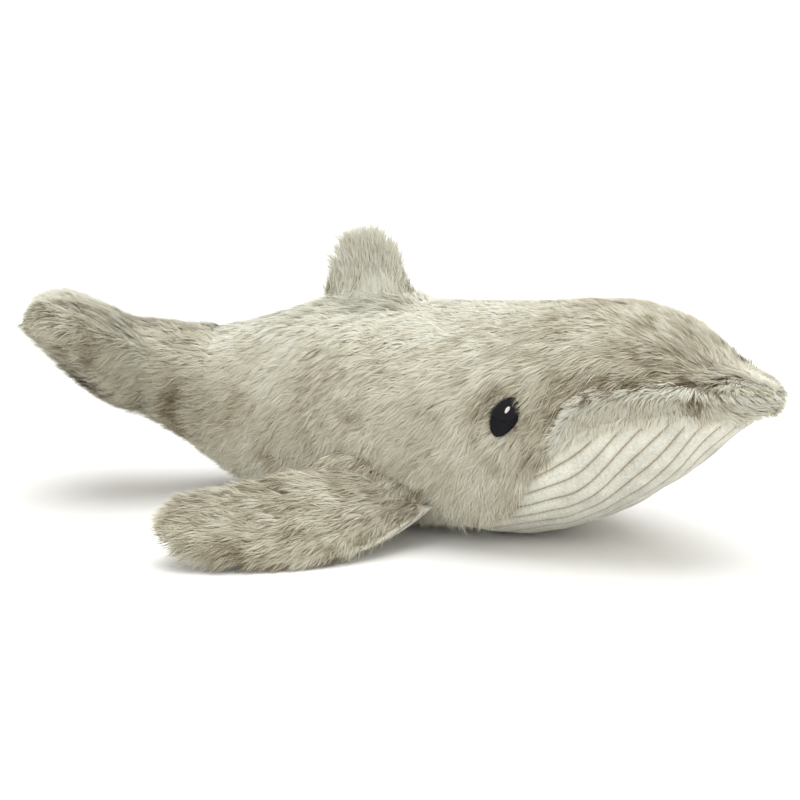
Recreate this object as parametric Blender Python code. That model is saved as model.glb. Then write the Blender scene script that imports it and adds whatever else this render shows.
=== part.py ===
"""A plush whale sewn from fur and ribbed cloth round fibre stuffing.

Metres, +Z up. The whale lies on its belly with its head towards -Y and its own right side
towards -X. The origin is on the flat of its belly, where it rests.

The body is one lofted form. Its skin is cut along seam lines into two fur back panels, two
rolled lips and a ribbed belly panel, and the stuffing is the same form set in by the skin's
thickness. The flippers, the dorsal fin and the tail flukes are flat pillows, each sewn on
along a thin round hem that turns about its root seam like a fabric hinge.
"""

import math
from dataclasses import dataclass

import bmesh
import bpy
import numpy as np
from mathutils import Matrix

# Body

BODY_LENGTH = 0.275
BODY_WIDTH = 0.099
BODY_HEIGHT = 0.094
NOSE_TO_REST = 0.150
NOSE_CAP = 0.011
TAIL_CAP = 0.017
TAIL_BEND_RADIUS = 0.1125
TAIL_BEND_START_SHARE = 0.70
SECTION_FULLNESS_SHARE = 0.92

# Each row: place along the body from the nose, then the height of the back, of the widest
# line and of the belly as shares of BODY_HEIGHT, and half the breadth of BODY_WIDTH.
BODY_SHARES = (
    (0.000, 0.771, 0.707, 0.644, 0.111),
    (0.025, 0.782, 0.718, 0.612, 0.146),
    (0.058, 0.803, 0.729, 0.548, 0.192),
    (0.095, 0.846, 0.729, 0.460, 0.242),
    (0.135, 0.904, 0.723, 0.357, 0.293),
    (0.182, 0.963, 0.697, 0.259, 0.343),
    (0.247, 0.997, 0.644, 0.140, 0.404),
    (0.316, 0.984, 0.590, 0.053, 0.447),
    (0.382, 0.957, 0.521, 0.005, 0.478),
    (0.418, 0.947, 0.495, -0.005, 0.488),
    (0.549, 0.913, 0.447, -0.005, 0.500),
    (0.680, 0.880, 0.426, -0.005, 0.455),
    (0.771, 0.848, 0.420, -0.005, 0.394),
    (0.836, 0.798, 0.426, 0.016, 0.343),
    (0.891, 0.750, 0.447, 0.069, 0.298),
    (0.945, 0.718, 0.489, 0.160, 0.258),
    (1.000, 0.707, 0.527, 0.234, 0.222),
)

# Skin

SKIN_THICKNESS = 0.0022
SEAM_GAP = 0.0003
RIB_PITCH = 0.0068
RIB_GROOVE_DEPTH = 0.0011
RIB_CROWN_SHARE = 0.62
CLOTH_ROUGHNESS = 0.9
LIP_BULGE = 0.0022

# The belly panel's half breadth, as a share of the way from the belly's middle line up to
# the widest line, at places along the body.
BELLY_SHARES = (
    (0.025, 0.00),
    (0.042, 0.42),
    (0.080, 0.72),
    (0.127, 0.84),
    (0.178, 0.88),
    (0.215, 0.87),
    (0.255, 0.81),
    (0.295, 0.75),
    (0.313, 0.66),
    (0.329, 0.57),
    (0.349, 0.54),
    (0.462, 0.43),
    (0.582, 0.34),
    (0.691, 0.20),
    (0.800, 0.00),
)

# The girth of the ridge along the lip's upper edge, until it runs into the mouth seam:
# 0 is the back's middle line, 0.5 the widest line and 1 the belly's middle line.
RIDGE_SHARES = (
    (0.000, 0.500),
    (0.062, 0.460),
    (0.156, 0.470),
    (0.200, 0.460),
    (0.240, 0.500),
    (0.275, 0.620),
)

# Eyes

EYE_LENGTH = 0.0145
EYE_BREADTH = 0.0108
EYE_RELIEF = 0.0009
EYE_EDGE_SHARE = 0.4
EYE_HEIGHT = 0.056
EYE_ALONG_SHARE = 0.326
EYE_LEAN = math.radians(58)
GLINT_LENGTH = 0.0030
GLINT_BREADTH = 0.0022
GLINT_PLACE_SHARES = (0.12, 0.10)

# Limbs

HEM_RADIUS = 0.003
LIMB_SKIN = 0.0018
FLOOR_CLEARANCE = 0.0004

FLIPPER_LENGTH = 0.090
FLIPPER_CHORD = 0.050
FLIPPER_THICKNESS = 0.018
FLIPPER_TIP_CAP = 0.020
FLIPPER_FIRST_HEADING = math.radians(22)
FLIPPER_LAST_HEADING = math.radians(68)
FLIPPER_TWIST = math.radians(20)
# Where the flipper's root seam begins and ends: along the body and above the floor.
FLIPPER_ROOT_FRONT = (0.125, 0.013)
FLIPPER_ROOT_REAR = (0.162, 0.030)

FIN_HEIGHT = 0.0265
FIN_CHORD = 0.038
FIN_THICKNESS = 0.017
FIN_TIP_CAP = 0.012
FIN_HEADING = math.radians(-8)
FIN_ROOT_FRONT = 0.170
FIN_ROOT_REAR = 0.206

FLUKE_LENGTH = 0.063
FLUKE_SPAN = 0.075
FLUKE_THICKNESS = 0.030
FLUKE_TIP_CAP = 0.012
FLUKE_RISE = math.radians(20)
FLUKE_ROLL = math.radians(-4)
FLUKE_TIP_LIFT = 0.0085
FLUKE_WEDGE_SHARE = 0.95
FLUKE_FRONT_SHARE = 0.42
FLUKE_CROWN_SHARE = 0.35

# Places out along a limb, then half its chord there and its thickness (0 at the hem).
FLIPPER_SHARES = (
    (0.00, 0.400, 0.00),
    (0.14, 0.450, 0.55),
    (0.32, 0.485, 0.94),
    (0.60, 0.445, 1.00),
    (0.82, 0.385, 0.92),
    (1.00, 0.300, 0.75),
)
FIN_SHARES = (
    (0.00, 0.470, 0.00),
    (0.25, 0.500, 0.62),
    (0.60, 0.460, 1.00),
    (1.00, 0.370, 0.85),
)

# Places out from the flukes' middle line, then their front and rear edge as shares of
# their length, and their thickness. The rear edge dips at the middle: the notch.
FLUKE_SHARES = (
    (0.00, 0.000, 0.640, 1.00),
    (0.10, 0.000, 0.690, 1.00),
    (0.30, 0.000, 0.930, 1.00),
    (0.48, 0.020, 1.000, 0.95),
    (0.70, 0.170, 0.990, 0.80),
    (0.88, 0.370, 0.940, 0.64),
    (1.00, 0.540, 0.860, 0.52),
)

# Fineness

BODY_ROWS = 18
CAP_ROWS = 3
BACK_COLUMNS = 8
LIP_COLUMNS = 4
BELLY_COLUMNS = 5
LIMB_ROWS = 5
LIMB_COLUMNS = 6
EYE_RINGS = 2
EYE_SPOKES = 14
FIRST_ROW_SHARE = 0.10
MERGE_DISTANCE = 1e-7
SHARP_ANGLE = math.radians(50)
FINE_GIRTHS = 161
GIRTH_STEP = 0.01
SEAT_ROWS = 160
SEAT_SAMPLES = 15
SEAT_STEPS = 12
LEAN_STEPS = 40
LEAN_LIMIT = math.radians(60)

FUR = (0.50, 0.46, 0.37)
RIBBED_CLOTH = (0.78, 0.74, 0.64)
FIBRE = (0.86, 0.86, 0.84)
BLACK_THREAD = (0.012, 0.012, 0.014)
WHITE_THREAD = (0.88, 0.88, 0.86)


def smooth_table(table, places):
    """Values at places from a table of rows, through cubic curves that don't overshoot."""
    table = np.asarray(table, float)
    knots = table[:, 0]
    values = table[:, 1:]
    places = np.clip(places, knots[0], knots[-1])
    slopes = np.diff(values, axis=0) / np.diff(knots)[:, None]
    flat = slopes[:-1] * slopes[1:] <= 0
    total = np.where(flat, 1.0, slopes[:-1] + slopes[1:])
    inner = np.where(flat, 0.0, 2 * slopes[:-1] * slopes[1:] / total)
    tangents = np.concatenate([slopes[:1], inner, slopes[-1:]])
    index = np.clip(np.searchsorted(knots, places, side="right") - 1, 0, len(knots) - 2)
    step = (knots[index + 1] - knots[index])[:, None]
    t = (places - knots[index])[:, None] / step
    return (
        values[index] * (2 * t**3 - 3 * t**2 + 1)
        + values[index + 1] * (3 * t**2 - 2 * t**3)
        + tangents[index] * step * (t**3 - 2 * t**2 + t)
        + tangents[index + 1] * step * (t**3 - t**2)
    )


def capped_rows(reach, first_cap, last_cap, middle, inset, start_share=0.0, end_share=0.0):
    """Places along a form whose ends round off, and how round it is there: 0 at a tip, 1 past it.

    A form set in by a depth starts and ends that depth further in, and rounds off over less.
    """
    first_turn = np.linspace(start_share, 1, CAP_ROWS + 1) * math.pi / 2
    last_turn = np.linspace(1, end_share, CAP_ROWS + 1) * math.pi / 2
    first = inset + (first_cap - inset) * (1 - np.cos(first_turn))
    last = reach - inset - (last_cap - inset) * (1 - np.cos(last_turn))
    between = np.linspace(first_cap, reach - last_cap, middle + 2)[1:-1]
    first_round = np.concatenate([np.sin(first_turn), np.ones(middle + len(last_turn))])
    last_round = np.concatenate([np.ones(len(first_turn) + middle), np.sin(last_turn)])
    return np.concatenate([first, between, last]), first_round, last_round


@dataclass(frozen=True)
class BodyRows:
    """The body's cross-sections at a row of places, one array entry each."""

    along: np.ndarray
    top: np.ndarray
    widest: np.ndarray
    bottom: np.ndarray
    half_width: np.ndarray
    inset: float


def body_rows(along, nose_round, tail_round, inset=0.0):
    """The sections at the places along, rounded off at the nose and flattened at the tail seam."""
    shares = smooth_table(BODY_SHARES, along / BODY_LENGTH)
    widest = shares[:, 1] * BODY_HEIGHT
    hem = HEM_RADIUS - inset
    up = shares[:, 0] * BODY_HEIGHT - widest - inset
    down = widest - shares[:, 2] * BODY_HEIGHT - inset
    up = nose_round * (hem + (up - hem) * tail_round)
    down = nose_round * (hem + (down - hem) * tail_round)
    half_width = nose_round * (shares[:, 3] * BODY_WIDTH - inset)
    return BodyRows(along, widest + up, widest, widest - down, half_width, inset)


def body_spine(along):
    """The body's middle line in plan and its sideways directions. Its tail bends to -X."""
    start = TAIL_BEND_START_SHARE * BODY_LENGTH
    turn = np.clip(along - start, 0, None) / TAIL_BEND_RADIUS
    x = -TAIL_BEND_RADIUS * (1 - np.cos(turn))
    y = np.minimum(along, start) + TAIL_BEND_RADIUS * np.sin(turn) - NOSE_TO_REST
    return np.stack([x, y], -1), np.stack([np.cos(turn), np.sin(turn)], -1)


def body_points(rows, girth, side, rise=0.0):
    """Points of the body's surface, an array of rows by columns.

    Girth runs from 0 on the back's middle line over 0.5 on the widest line to 1 on the
    belly's. Side is -1 for the whale's right and 1 for its left. Rise lifts a point off the
    surface. The belly is cut flat where it rests.
    """
    turn = girth * math.pi
    out = np.sin(turn)
    over = np.cos(turn)
    above = (rows.top - rows.widest)[:, None]
    below = (rows.widest - rows.bottom)[:, None]
    up = np.where(over > 0, above, below)
    width = rows.half_width[:, None]
    reach = width * np.abs(out) ** SECTION_FULLNESS_SHARE
    height = up * np.sign(over) * np.abs(over) ** SECTION_FULLNESS_SHARE
    slant = np.stack([out * up, over * width], -1)
    slant /= np.maximum(np.linalg.norm(slant, axis=-1, keepdims=True), MERGE_DISTANCE)
    reach = reach + rise * slant[..., 0]
    z = rows.widest[:, None] + height + rise * slant[..., 1]
    z = np.maximum(z, rows.inset - np.minimum(rise, 0))
    middle, sideways = body_spine(rows.along)
    plan = middle[:, None, :] + side * reach[..., None] * sideways[:, None, :]
    return np.concatenate([plan, z[..., None]], -1)


def girth_at_height(along, height):
    """The girth at which the body's side has this height, below its widest line."""
    rows = body_rows(np.array([along]), np.ones(1), np.ones(1))
    share = (height - rows.widest[0]) / (rows.widest[0] - rows.bottom[0])
    if share > 0:
        share = (height - rows.widest[0]) / (rows.top[0] - rows.widest[0])
    return math.acos(math.copysign(abs(share) ** (1 / SECTION_FULLNESS_SHARE), share)) / math.pi


def seam_lines(along):
    """Girths of the lip's upper edge and of the belly panel's seam at places along the body."""
    at = along / BODY_LENGTH
    belly = smooth_table(BELLY_SHARES, at)[:, 0]
    seam = 1 - belly / 2
    ridge = smooth_table(RIDGE_SHARES, at)[:, 0]
    past_lip = at >= RIDGE_SHARES[-1][0]
    return np.where(past_lip, seam, np.minimum(ridge, seam)), seam


def arc_lengths(rows, girth):
    """How far each point of fine sections lies from the belly's middle line, over the skin."""
    points = body_points(rows, girth, 1)
    steps = np.linalg.norm(np.diff(points, axis=1), axis=-1)
    from_top = np.concatenate([np.zeros((len(steps), 1)), np.cumsum(steps, axis=1)], axis=1)
    return from_top[:, -1:] - from_top


def columns_between(first, last, count):
    """Girths in equal steps from one seam to another, row by row."""
    return first[:, None] + (last - first)[:, None] * np.linspace(0, 1, count + 1)


def gap_in_girth(rows):
    """Half a seam's gap as a girth, at each row."""
    girth = np.linspace(0, 1, FINE_GIRTHS)[None, :]
    half_loop = arc_lengths(rows, np.repeat(girth, len(rows.along), axis=0))[:, 0]
    return SEAM_GAP / 2 / np.maximum(half_loop, SEAM_GAP)


def stations(inset):
    """The body's rows, the same for each layer, so that its skin and stuffing stay parallel."""
    along, nose, tail = capped_rows(
        BODY_LENGTH, NOSE_CAP, TAIL_CAP, BODY_ROWS, inset, FIRST_ROW_SHARE
    )
    return body_rows(along, nose, tail, inset)


def mesh_object(name, build, colour, collection, parent=None):
    """A named object from a function that fills a bmesh, closed, facing out and shaded smooth."""
    bm = bmesh.new()
    build(bm)
    bmesh.ops.remove_doubles(bm, verts=bm.verts[:], dist=MERGE_DISTANCE)
    bmesh.ops.dissolve_degenerate(bm, edges=bm.edges[:], dist=MERGE_DISTANCE)
    bmesh.ops.recalc_face_normals(bm, faces=bm.faces[:])
    mesh = bpy.data.meshes.new(name)
    bm.to_mesh(mesh)
    bm.free()
    mesh.shade_smooth()
    mesh.set_sharp_from_angle(angle=SHARP_ANGLE)
    mesh.materials.append(cloth_material(name, colour))
    obj = bpy.data.objects.new(name, mesh)
    obj.parent = parent
    collection.objects.link(obj)
    return obj


def cloth_material(name, colour):
    material = bpy.data.materials.new(name)
    material.use_nodes = True
    shader = material.node_tree.nodes["Principled BSDF"]
    shader.inputs["Base Color"].default_value = (*colour, 1)
    shader.inputs["Roughness"].default_value = CLOTH_ROUGHNESS
    shader.inputs["Metallic"].default_value = 0
    return material


def add_strip(bm, first, second, rising):
    """Triangles between two rows of vertices.

    Each square is split from its lower girth in the first row, so that parallel layers,
    drawn from either end of a row, are split alike.
    """
    for column, (a, b, c, d) in enumerate(zip(first, first[1:], second[1:], second)):
        if rising[column]:
            bm.faces.new((a, b, c))
            bm.faces.new((a, c, d))
        else:
            bm.faces.new((a, b, d))
            bm.faces.new((b, c, d))


def add_grid(bm, points, rising):
    """Vertices and triangles of a grid of points. Returns the vertices, row by row."""
    verts = [[bm.verts.new(tuple(point)) for point in row] for row in points]
    for first, second in zip(verts, verts[1:]):
        add_strip(bm, first, second, rising)
    return verts


def add_wall(bm, first, second):
    """A strip between two edges, or one face where they have unlike numbers of points."""
    if len(first) != len(second):
        bm.faces.new(first + second[::-1])
        return
    for corner in zip(first, first[1:], second[1:], second):
        bm.faces.new(corner)


def add_sheet(bm, outer, inner, outer_rising, inner_rising):
    """A sheet of cloth: an outer and an inner grid, joined round all four edges."""
    front = add_grid(bm, outer, outer_rising)
    back = add_grid(bm, inner, inner_rising)
    add_wall(bm, [row[0] for row in front], [row[0] for row in back])
    add_wall(bm, [row[-1] for row in front], [row[-1] for row in back])
    add_wall(bm, front[0], back[0])
    add_wall(bm, front[-1], back[-1])


def add_loft(bm, rings, rising):
    """A closed form through rings of points, with a flat face or a point at each end."""
    verts = [[bm.verts.new(tuple(point)) for point in ring] for ring in rings]
    for first, second in zip(verts, verts[1:]):
        add_strip(bm, first + first[:1], second + second[:1], rising)
    bm.faces.new(verts[0])
    bm.faces.new(verts[-1])


def one_way(columns, rising=True):
    """The same direction for a number of columns."""
    return [rising] * columns


def part_of(rows, keep):
    """Some of the body's rows."""
    return BodyRows(
        rows.along[keep],
        rows.top[keep],
        rows.widest[keep],
        rows.bottom[keep],
        rows.half_width[keep],
        rows.inset,
    )


def add_back_panel(bm, side):
    """One fur side, from the back's middle seam down to the lip and the belly's seam."""
    outer_rows = stations(0)
    gap = gap_in_girth(outer_rows)
    lip, _ = seam_lines(outer_rows.along)
    girth = columns_between(gap, lip - gap, BACK_COLUMNS)
    outer = body_points(outer_rows, girth, side)
    inner = body_points(stations(SKIN_THICKNESS), girth, side)
    ways = one_way(BACK_COLUMNS)
    add_sheet(bm, outer, inner, ways, ways)


def add_lip(bm, side):
    """A rolled fur lip between the back panel and the mouth seam, proud of both."""
    all_rows = stations(0)
    lip, seam = seam_lines(all_rows.along)
    gap = gap_in_girth(all_rows)
    keep = slice(0, np.flatnonzero(lip > seam - 2 * gap)[0] + 1)
    outer_rows = part_of(all_rows, keep)
    inner_rows = part_of(stations(SKIN_THICKNESS), keep)
    lip = lip[keep]
    seam = seam[keep]
    gap = gap[keep]
    middle = (lip + seam) / 2
    upper = np.minimum(lip + gap, middle)
    lower = np.maximum(seam - gap, middle)
    girth = columns_between(upper, lower, LIP_COLUMNS)
    across = np.linspace(0, 1, LIP_COLUMNS + 1)[None, :]
    fade = ((seam - lip) / (seam - lip).max())[:, None]
    bulge = LIP_BULGE * np.sin(across * math.pi) * fade
    outer = body_points(outer_rows, girth, side, bulge)
    ways = one_way(LIP_COLUMNS)
    add_sheet(bm, outer, body_points(inner_rows, girth, side), ways, ways)


def rib_columns(widest_arc):
    """Places across the belly cloth and how deep it is there: flat crowns, narrow grooves between."""
    crown = RIB_CROWN_SHARE * RIB_PITCH / 2
    count = int(widest_arc / RIB_PITCH) + 1
    places = []
    depths = []
    for rib in range(-count, count + 1):
        middle = rib * RIB_PITCH
        places += [middle - crown, middle + crown, middle + RIB_PITCH / 2]
        depths += [0, 0, RIB_GROOVE_DEPTH]
    return np.array(places), np.array(depths)


def add_belly_panel(bm):
    """The ribbed throat and belly cloth. Its ribs run along the body, and the seams cut them off."""
    all_rows = stations(0)
    first = np.searchsorted(all_rows.along, BELLY_SHARES[0][0] * BODY_LENGTH)
    last = np.searchsorted(all_rows.along, BELLY_SHARES[-1][0] * BODY_LENGTH)
    keep = slice(first, last)
    outer_rows = part_of(all_rows, keep)
    inner_rows = part_of(stations(SKIN_THICKNESS), keep)
    _, seam = seam_lines(outer_rows.along)
    seam = seam + gap_in_girth(outer_rows)
    fine = np.repeat(np.linspace(0, 1, FINE_GIRTHS)[None, :], len(seam), axis=0)
    arcs = arc_lengths(outer_rows, fine)
    edge = np.array([np.interp(g, row, arc) for g, row, arc in zip(seam, fine, arcs)])
    places, depths = rib_columns(edge.max())
    across = np.clip(places[None, :], -edge[:, None], edge[:, None])
    depth = np.where(np.abs(places[None, :]) < edge[:, None], depths[None, :], 0)
    girth = np.array(
        [np.interp(np.abs(a), arc[::-1], row[::-1]) for a, row, arc in zip(across, fine, arcs)]
    )
    outer = np.where(
        (across < 0)[..., None],
        body_points(outer_rows, girth, -1, -depth),
        body_points(outer_rows, girth, 1, -depth),
    )
    half = columns_between(seam, np.ones(len(seam)), BELLY_COLUMNS)
    right = body_points(inner_rows, half, -1)
    left = body_points(inner_rows, half[:, ::-1][:, 1:], 1)
    inner = np.concatenate([right, left], axis=1)
    ways = one_way(BELLY_COLUMNS) + one_way(BELLY_COLUMNS, False)
    add_sheet(bm, outer, inner, one_way(len(places) - 1), ways)


def add_body_stuffing(bm):
    """The fibre inside the body, parallel to each panel's inner face."""
    outer_along = stations(0).along
    rows = stations(SKIN_THICKNESS + SEAM_GAP)
    lip, seam = seam_lines(outer_along)
    top = np.zeros(len(lip))
    girth = np.concatenate(
        [
            columns_between(top, lip, BACK_COLUMNS)[:, :-1],
            columns_between(lip, seam, LIP_COLUMNS)[:, :-1],
            columns_between(seam, top + 1, BELLY_COLUMNS),
        ],
        axis=1,
    )
    left = body_points(rows, girth, 1)
    right = body_points(rows, girth[:, 1:-1][:, ::-1], -1)
    half = BACK_COLUMNS + LIP_COLUMNS + BELLY_COLUMNS
    add_loft(bm, np.concatenate([left, right], axis=1), one_way(half) + one_way(half, False))


def add_patch(bm, side, middle, length, breadth, lean, near, relief):
    """An oval patch of thread that follows the body's side, domed, at a distance from it."""
    turn = np.linspace(0, 2 * math.pi, EYE_SPOKES, endpoint=False)
    shares = np.linspace(0, 1, EYE_RINGS + 1)
    rises = relief * (EYE_EDGE_SHARE + (1 - EYE_EDGE_SHARE) * (1 - shares**2))
    top = []
    base = []
    for share, rise in zip(shares, rises):
        long_way = share * length / 2 * np.cos(turn)
        short_way = share * breadth / 2 * np.sin(turn)
        forward = long_way * math.cos(lean) - short_way * math.sin(lean)
        upward = long_way * math.sin(lean) + short_way * math.cos(lean)
        top.append(side_points(middle, forward, upward, side, near + rise))
        base.append(side_points(middle, forward, upward, side, near))
    add_loft(bm, base[1:] + top[::-1], one_way(EYE_SPOKES))


def side_points(middle, forward, upward, side, rise):
    """Points at distances forward and upward of a place on the body's side."""
    along, girth = middle
    rows = body_rows(along - forward, np.ones(len(forward)), np.ones(len(forward)))
    steps = np.array([[girth - GIRTH_STEP, girth + GIRTH_STEP]])
    ends = body_points(part_of(rows, slice(0, 1)), steps, side)[0]
    per_girth = np.linalg.norm(ends[1] - ends[0]) / (steps[0, 1] - steps[0, 0])
    girths = (girth - upward / per_girth)[:, None]
    return body_points(rows, girths, side, rise)[:, 0]


@dataclass(frozen=True)
class Pillow:
    """A flat sewn limb in its own frame: x along its root seam, y out from it, z its thickness."""

    reach: float
    first_cap: float
    last_cap: float
    half_thickness: float
    sections: object

    def rows(self, inset):
        return capped_rows(self.reach, self.first_cap, self.last_cap, LIMB_ROWS, inset)

    def points(self, turns, inset, lift):
        """Rows of points round the limb at the given turns: 0 at one edge, pi at the other."""
        along, first, last = self.rows(inset)
        return self.sections(self, along, first, last, turns, inset, lift)


def paddle_sections(chord, table, headings, twist, hand):
    """Sections across a limb that reaches out of its hem along a curve, such as a flipper.

    Its middle line starts and ends at the given headings from straight out. Its sections
    lie along the root seam at the hem and turn square to that line within half its length.
    Hand mirrors the curve, 1 or -1.
    """

    def sections(pillow, along, first, last, turns, inset, lift):
        share = np.clip(along / pillow.reach, 0, 1)
        shares = smooth_table(table, share)
        thick = HEM_RADIUS - inset + (pillow.half_thickness - HEM_RADIUS) * shares[:, 1]
        thick = (thick * first * last)[:, None] * fullness(np.sin(turns))[None, :] + lift
        half_chord = (shares[:, 0] * chord - inset) * last
        across = half_chord[:, None] * np.cos(turns)[None, :]
        middle_x, middle_y = curved_line(along, pillow.reach, *headings)
        ease = np.clip(2 * share, 0, 1)
        heading = headings[0] + (headings[1] - headings[0]) * share
        turned = (heading * ease**2 * (3 - 2 * ease))[:, None]
        roll = (twist * share)[:, None]
        x = middle_x[:, None] + across * np.cos(turned) * np.cos(roll)
        y = middle_y[:, None] - HEM_RADIUS - across * np.sin(turned)
        z = thick * np.cos(roll) - across * np.sin(roll)
        return np.stack([hand * x, y, z], -1)

    return sections


def curved_line(along, reach, first_heading, last_heading):
    """Points at distances along a line that turns evenly from one heading to another."""
    fine = np.linspace(0, reach, FINE_GIRTHS)
    heading = first_heading + (last_heading - first_heading) * fine / reach
    step = fine[1]
    x = np.concatenate([[0], np.cumsum(np.sin(heading[1:]) * step)])
    y = np.concatenate([[0], np.cumsum(np.cos(heading[1:]) * step)])
    return np.interp(along, fine, x), np.interp(along, fine, y)


def fluke_sections():
    """Sections from front to rear of the tail flukes, taken from one tip across to the other."""

    def sections(pillow, along, first, last, turns, inset, lift):
        out = np.abs(along - pillow.reach / 2) / (pillow.reach / 2)
        shares = smooth_table(FLUKE_SHARES, out)
        tip = first * last
        front = shares[:, 0] * FLUKE_LENGTH
        rear = shares[:, 1] * FLUKE_LENGTH
        half = ((rear - front) / 2 - inset) * tip
        thick = (shares[:, 2] * pillow.half_thickness - inset) * tip
        y = ((front + rear) / 2 - HEM_RADIUS)[:, None] + half[:, None] * np.cos(turns)[None, :]
        rearward = np.cos(turns)
        height = fullness(np.sin(turns))
        blunt = -(np.abs(np.sin(turns)) ** FLUKE_FRONT_SHARE)
        height = np.where((height < 0) & (rearward < 0), blunt, height)
        crown = 1 + FLUKE_CROWN_SHARE * np.minimum(rearward, 0)
        height = height * np.where(height < 0, 1 - FLUKE_WEDGE_SHARE * rearward, crown)
        z = thick[:, None] * height[None, :] + FLUKE_TIP_LIFT * out[:, None] ** 3 + lift
        x = np.repeat((along - pillow.reach / 2)[:, None], len(turns), axis=1)
        return np.stack([x, y, z], -1)

    return sections


def fullness(height):
    """An oval's height, a little fuller than an ellipse's."""
    return np.sign(height) * np.abs(height) ** SECTION_FULLNESS_SHARE


def add_limb_skin(bm, pillow, face):
    """One face of a limb's cover: 1 is its top and -1 its underside."""
    turns = np.linspace(0, math.pi, LIMB_COLUMNS + 1) * face
    lift = face * SEAM_GAP / 2
    ways = one_way(LIMB_COLUMNS, face > 0)
    add_sheet(bm, pillow.points(turns, 0, lift), pillow.points(turns, LIMB_SKIN, lift), ways, ways)


def add_limb_stuffing(bm, pillow):
    """The fibre inside a limb, a seam's gap in from its cover all round."""
    turns = np.linspace(0, 2 * math.pi, 2 * LIMB_COLUMNS, endpoint=False)
    add_loft(bm, pillow.points(turns, LIMB_SKIN + SEAM_GAP, 0), one_way(2 * LIMB_COLUMNS))


def unit(vector):
    return np.asarray(vector, float) / np.linalg.norm(vector)


def body_surface_samples():
    """A fine set of points over the whole skin, to seat the limbs by."""
    along, nose, tail = capped_rows(BODY_LENGTH, NOSE_CAP, TAIL_CAP, SEAT_ROWS, 0)
    rows = body_rows(along, nose, tail)
    girth = np.repeat(np.linspace(0, 1, FINE_GIRTHS)[None, :], len(along), axis=0)
    both = [body_points(rows, girth, side).reshape(-1, 3) for side in (-1, 1)]
    return np.concatenate(both)


def seated_axis(first, last, outward):
    """A root seam's two ends, moved out until a hem round it just clears the body."""
    samples = body_surface_samples()
    along = np.linspace(0, 1, SEAT_SAMPLES)[:, None]
    away = np.linalg.norm(samples - (first + last) / 2, axis=1)
    near = samples[away < np.linalg.norm(last - first)]
    moved = 0.0
    for _ in range(SEAT_STEPS):
        line = first + (last - first) * along + outward * moved
        distance = np.linalg.norm(line[:, None, :] - near[None, :, :], axis=-1).min()
        moved += HEM_RADIUS + SEAM_GAP - distance
    return first + outward * moved, last + outward * moved


def limb_frame(origin, along_root, outward):
    """A frame with x along the root seam, y outward and z its upper face."""
    x = unit(along_root)
    y = unit(outward - np.dot(outward, x) * x)
    z = np.cross(x, y)
    frame = Matrix.Identity(4)
    for row in range(3):
        frame[row][:] = (x[row], y[row], z[row], origin[row])
    return frame


def lowest(pillow, frame):
    """The lowest height of a limb in a frame."""
    turns = np.linspace(0, 2 * math.pi, 4 * LIMB_COLUMNS, endpoint=False)
    points = pillow.points(turns, 0, 0).reshape(-1, 3)
    return (points @ np.array(frame.to_3x3())[2] + frame.translation[2]).min()


def flipper_pillow(side):
    headings = (FLIPPER_FIRST_HEADING, FLIPPER_LAST_HEADING)
    sections = paddle_sections(FLIPPER_CHORD, FLIPPER_SHARES, headings, FLIPPER_TWIST, -side)
    return Pillow(FLIPPER_LENGTH, HEM_RADIUS, FLIPPER_TIP_CAP, FLIPPER_THICKNESS / 2, sections)


def flipper_frame(side):
    """A flipper's frame: along its root seam on the body's side, leaning down until it rests."""
    ends = []
    for along, height in (FLIPPER_ROOT_FRONT, FLIPPER_ROOT_REAR):
        girth = np.array([[girth_at_height(along, height)]])
        rows = body_rows(np.array([along]), np.ones(1), np.ones(1))
        ends.append(body_points(rows, girth, side)[0, 0])
    first, last = seated_axis(ends[0], ends[1], np.array([side, 0.0, 0.0]))
    root = (first - last) * side
    pillow = flipper_pillow(side)
    low = -LEAN_LIMIT
    high = LEAN_LIMIT
    for _ in range(LEAN_STEPS):
        lean = (low + high) / 2
        outward = np.array([side * math.cos(lean), 0, math.sin(lean)])
        frame = limb_frame((first + last) / 2, root, outward)
        if lowest(pillow, frame) < FLOOR_CLEARANCE:
            low = lean
        else:
            high = lean
    return frame


def fin_pillow():
    sections = paddle_sections(FIN_CHORD, FIN_SHARES, (FIN_HEADING, FIN_HEADING), 0, 1)
    return Pillow(FIN_HEIGHT, HEM_RADIUS, FIN_TIP_CAP, FIN_THICKNESS / 2, sections)


def fin_frame():
    """The dorsal fin's frame: on the back's middle seam, its root seam along the back."""
    rows = body_rows(np.array([FIN_ROOT_FRONT, FIN_ROOT_REAR]), np.ones(2), np.ones(2))
    ends = body_points(rows, np.zeros((2, 1)), 1)[:, 0]
    first, last = seated_axis(ends[0], ends[1], np.array([0, 0, 1.0]))
    return limb_frame((first + last) / 2, last - first, np.array([0, 0, 1.0]))


def fluke_pillow():
    return Pillow(FLUKE_SPAN, FLUKE_TIP_CAP, FLUKE_TIP_CAP, FLUKE_THICKNESS / 2, fluke_sections())


def fluke_frame():
    """The flukes' frame: behind the tail's end, rising from it."""
    rows = body_rows(np.array([BODY_LENGTH]), np.ones(1), np.zeros(1))
    middle, sideways = body_spine(rows.along)
    rear = np.array([-sideways[0, 1], sideways[0, 0], 0])
    across = np.array([sideways[0, 0], sideways[0, 1], 0])
    origin = np.array([*middle[0], rows.widest[0]]) + rear * (HEM_RADIUS + SEAM_GAP)
    outward = rear * math.cos(FLUKE_RISE) + np.array([0, 0, math.sin(FLUKE_RISE)])
    raised = np.cross(across, outward)
    across = across * math.cos(FLUKE_ROLL) + raised * math.sin(FLUKE_ROLL)
    return limb_frame(origin, across, outward)


def hinge_empty(name, frame, collection):
    """An empty on a root seam, its x axis along it, to carry the limb's pieces."""
    empty = bpy.data.objects.new(name, None)
    empty.empty_display_size = HEM_RADIUS
    empty.matrix_world = frame
    collection.objects.link(empty)
    return empty


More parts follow.
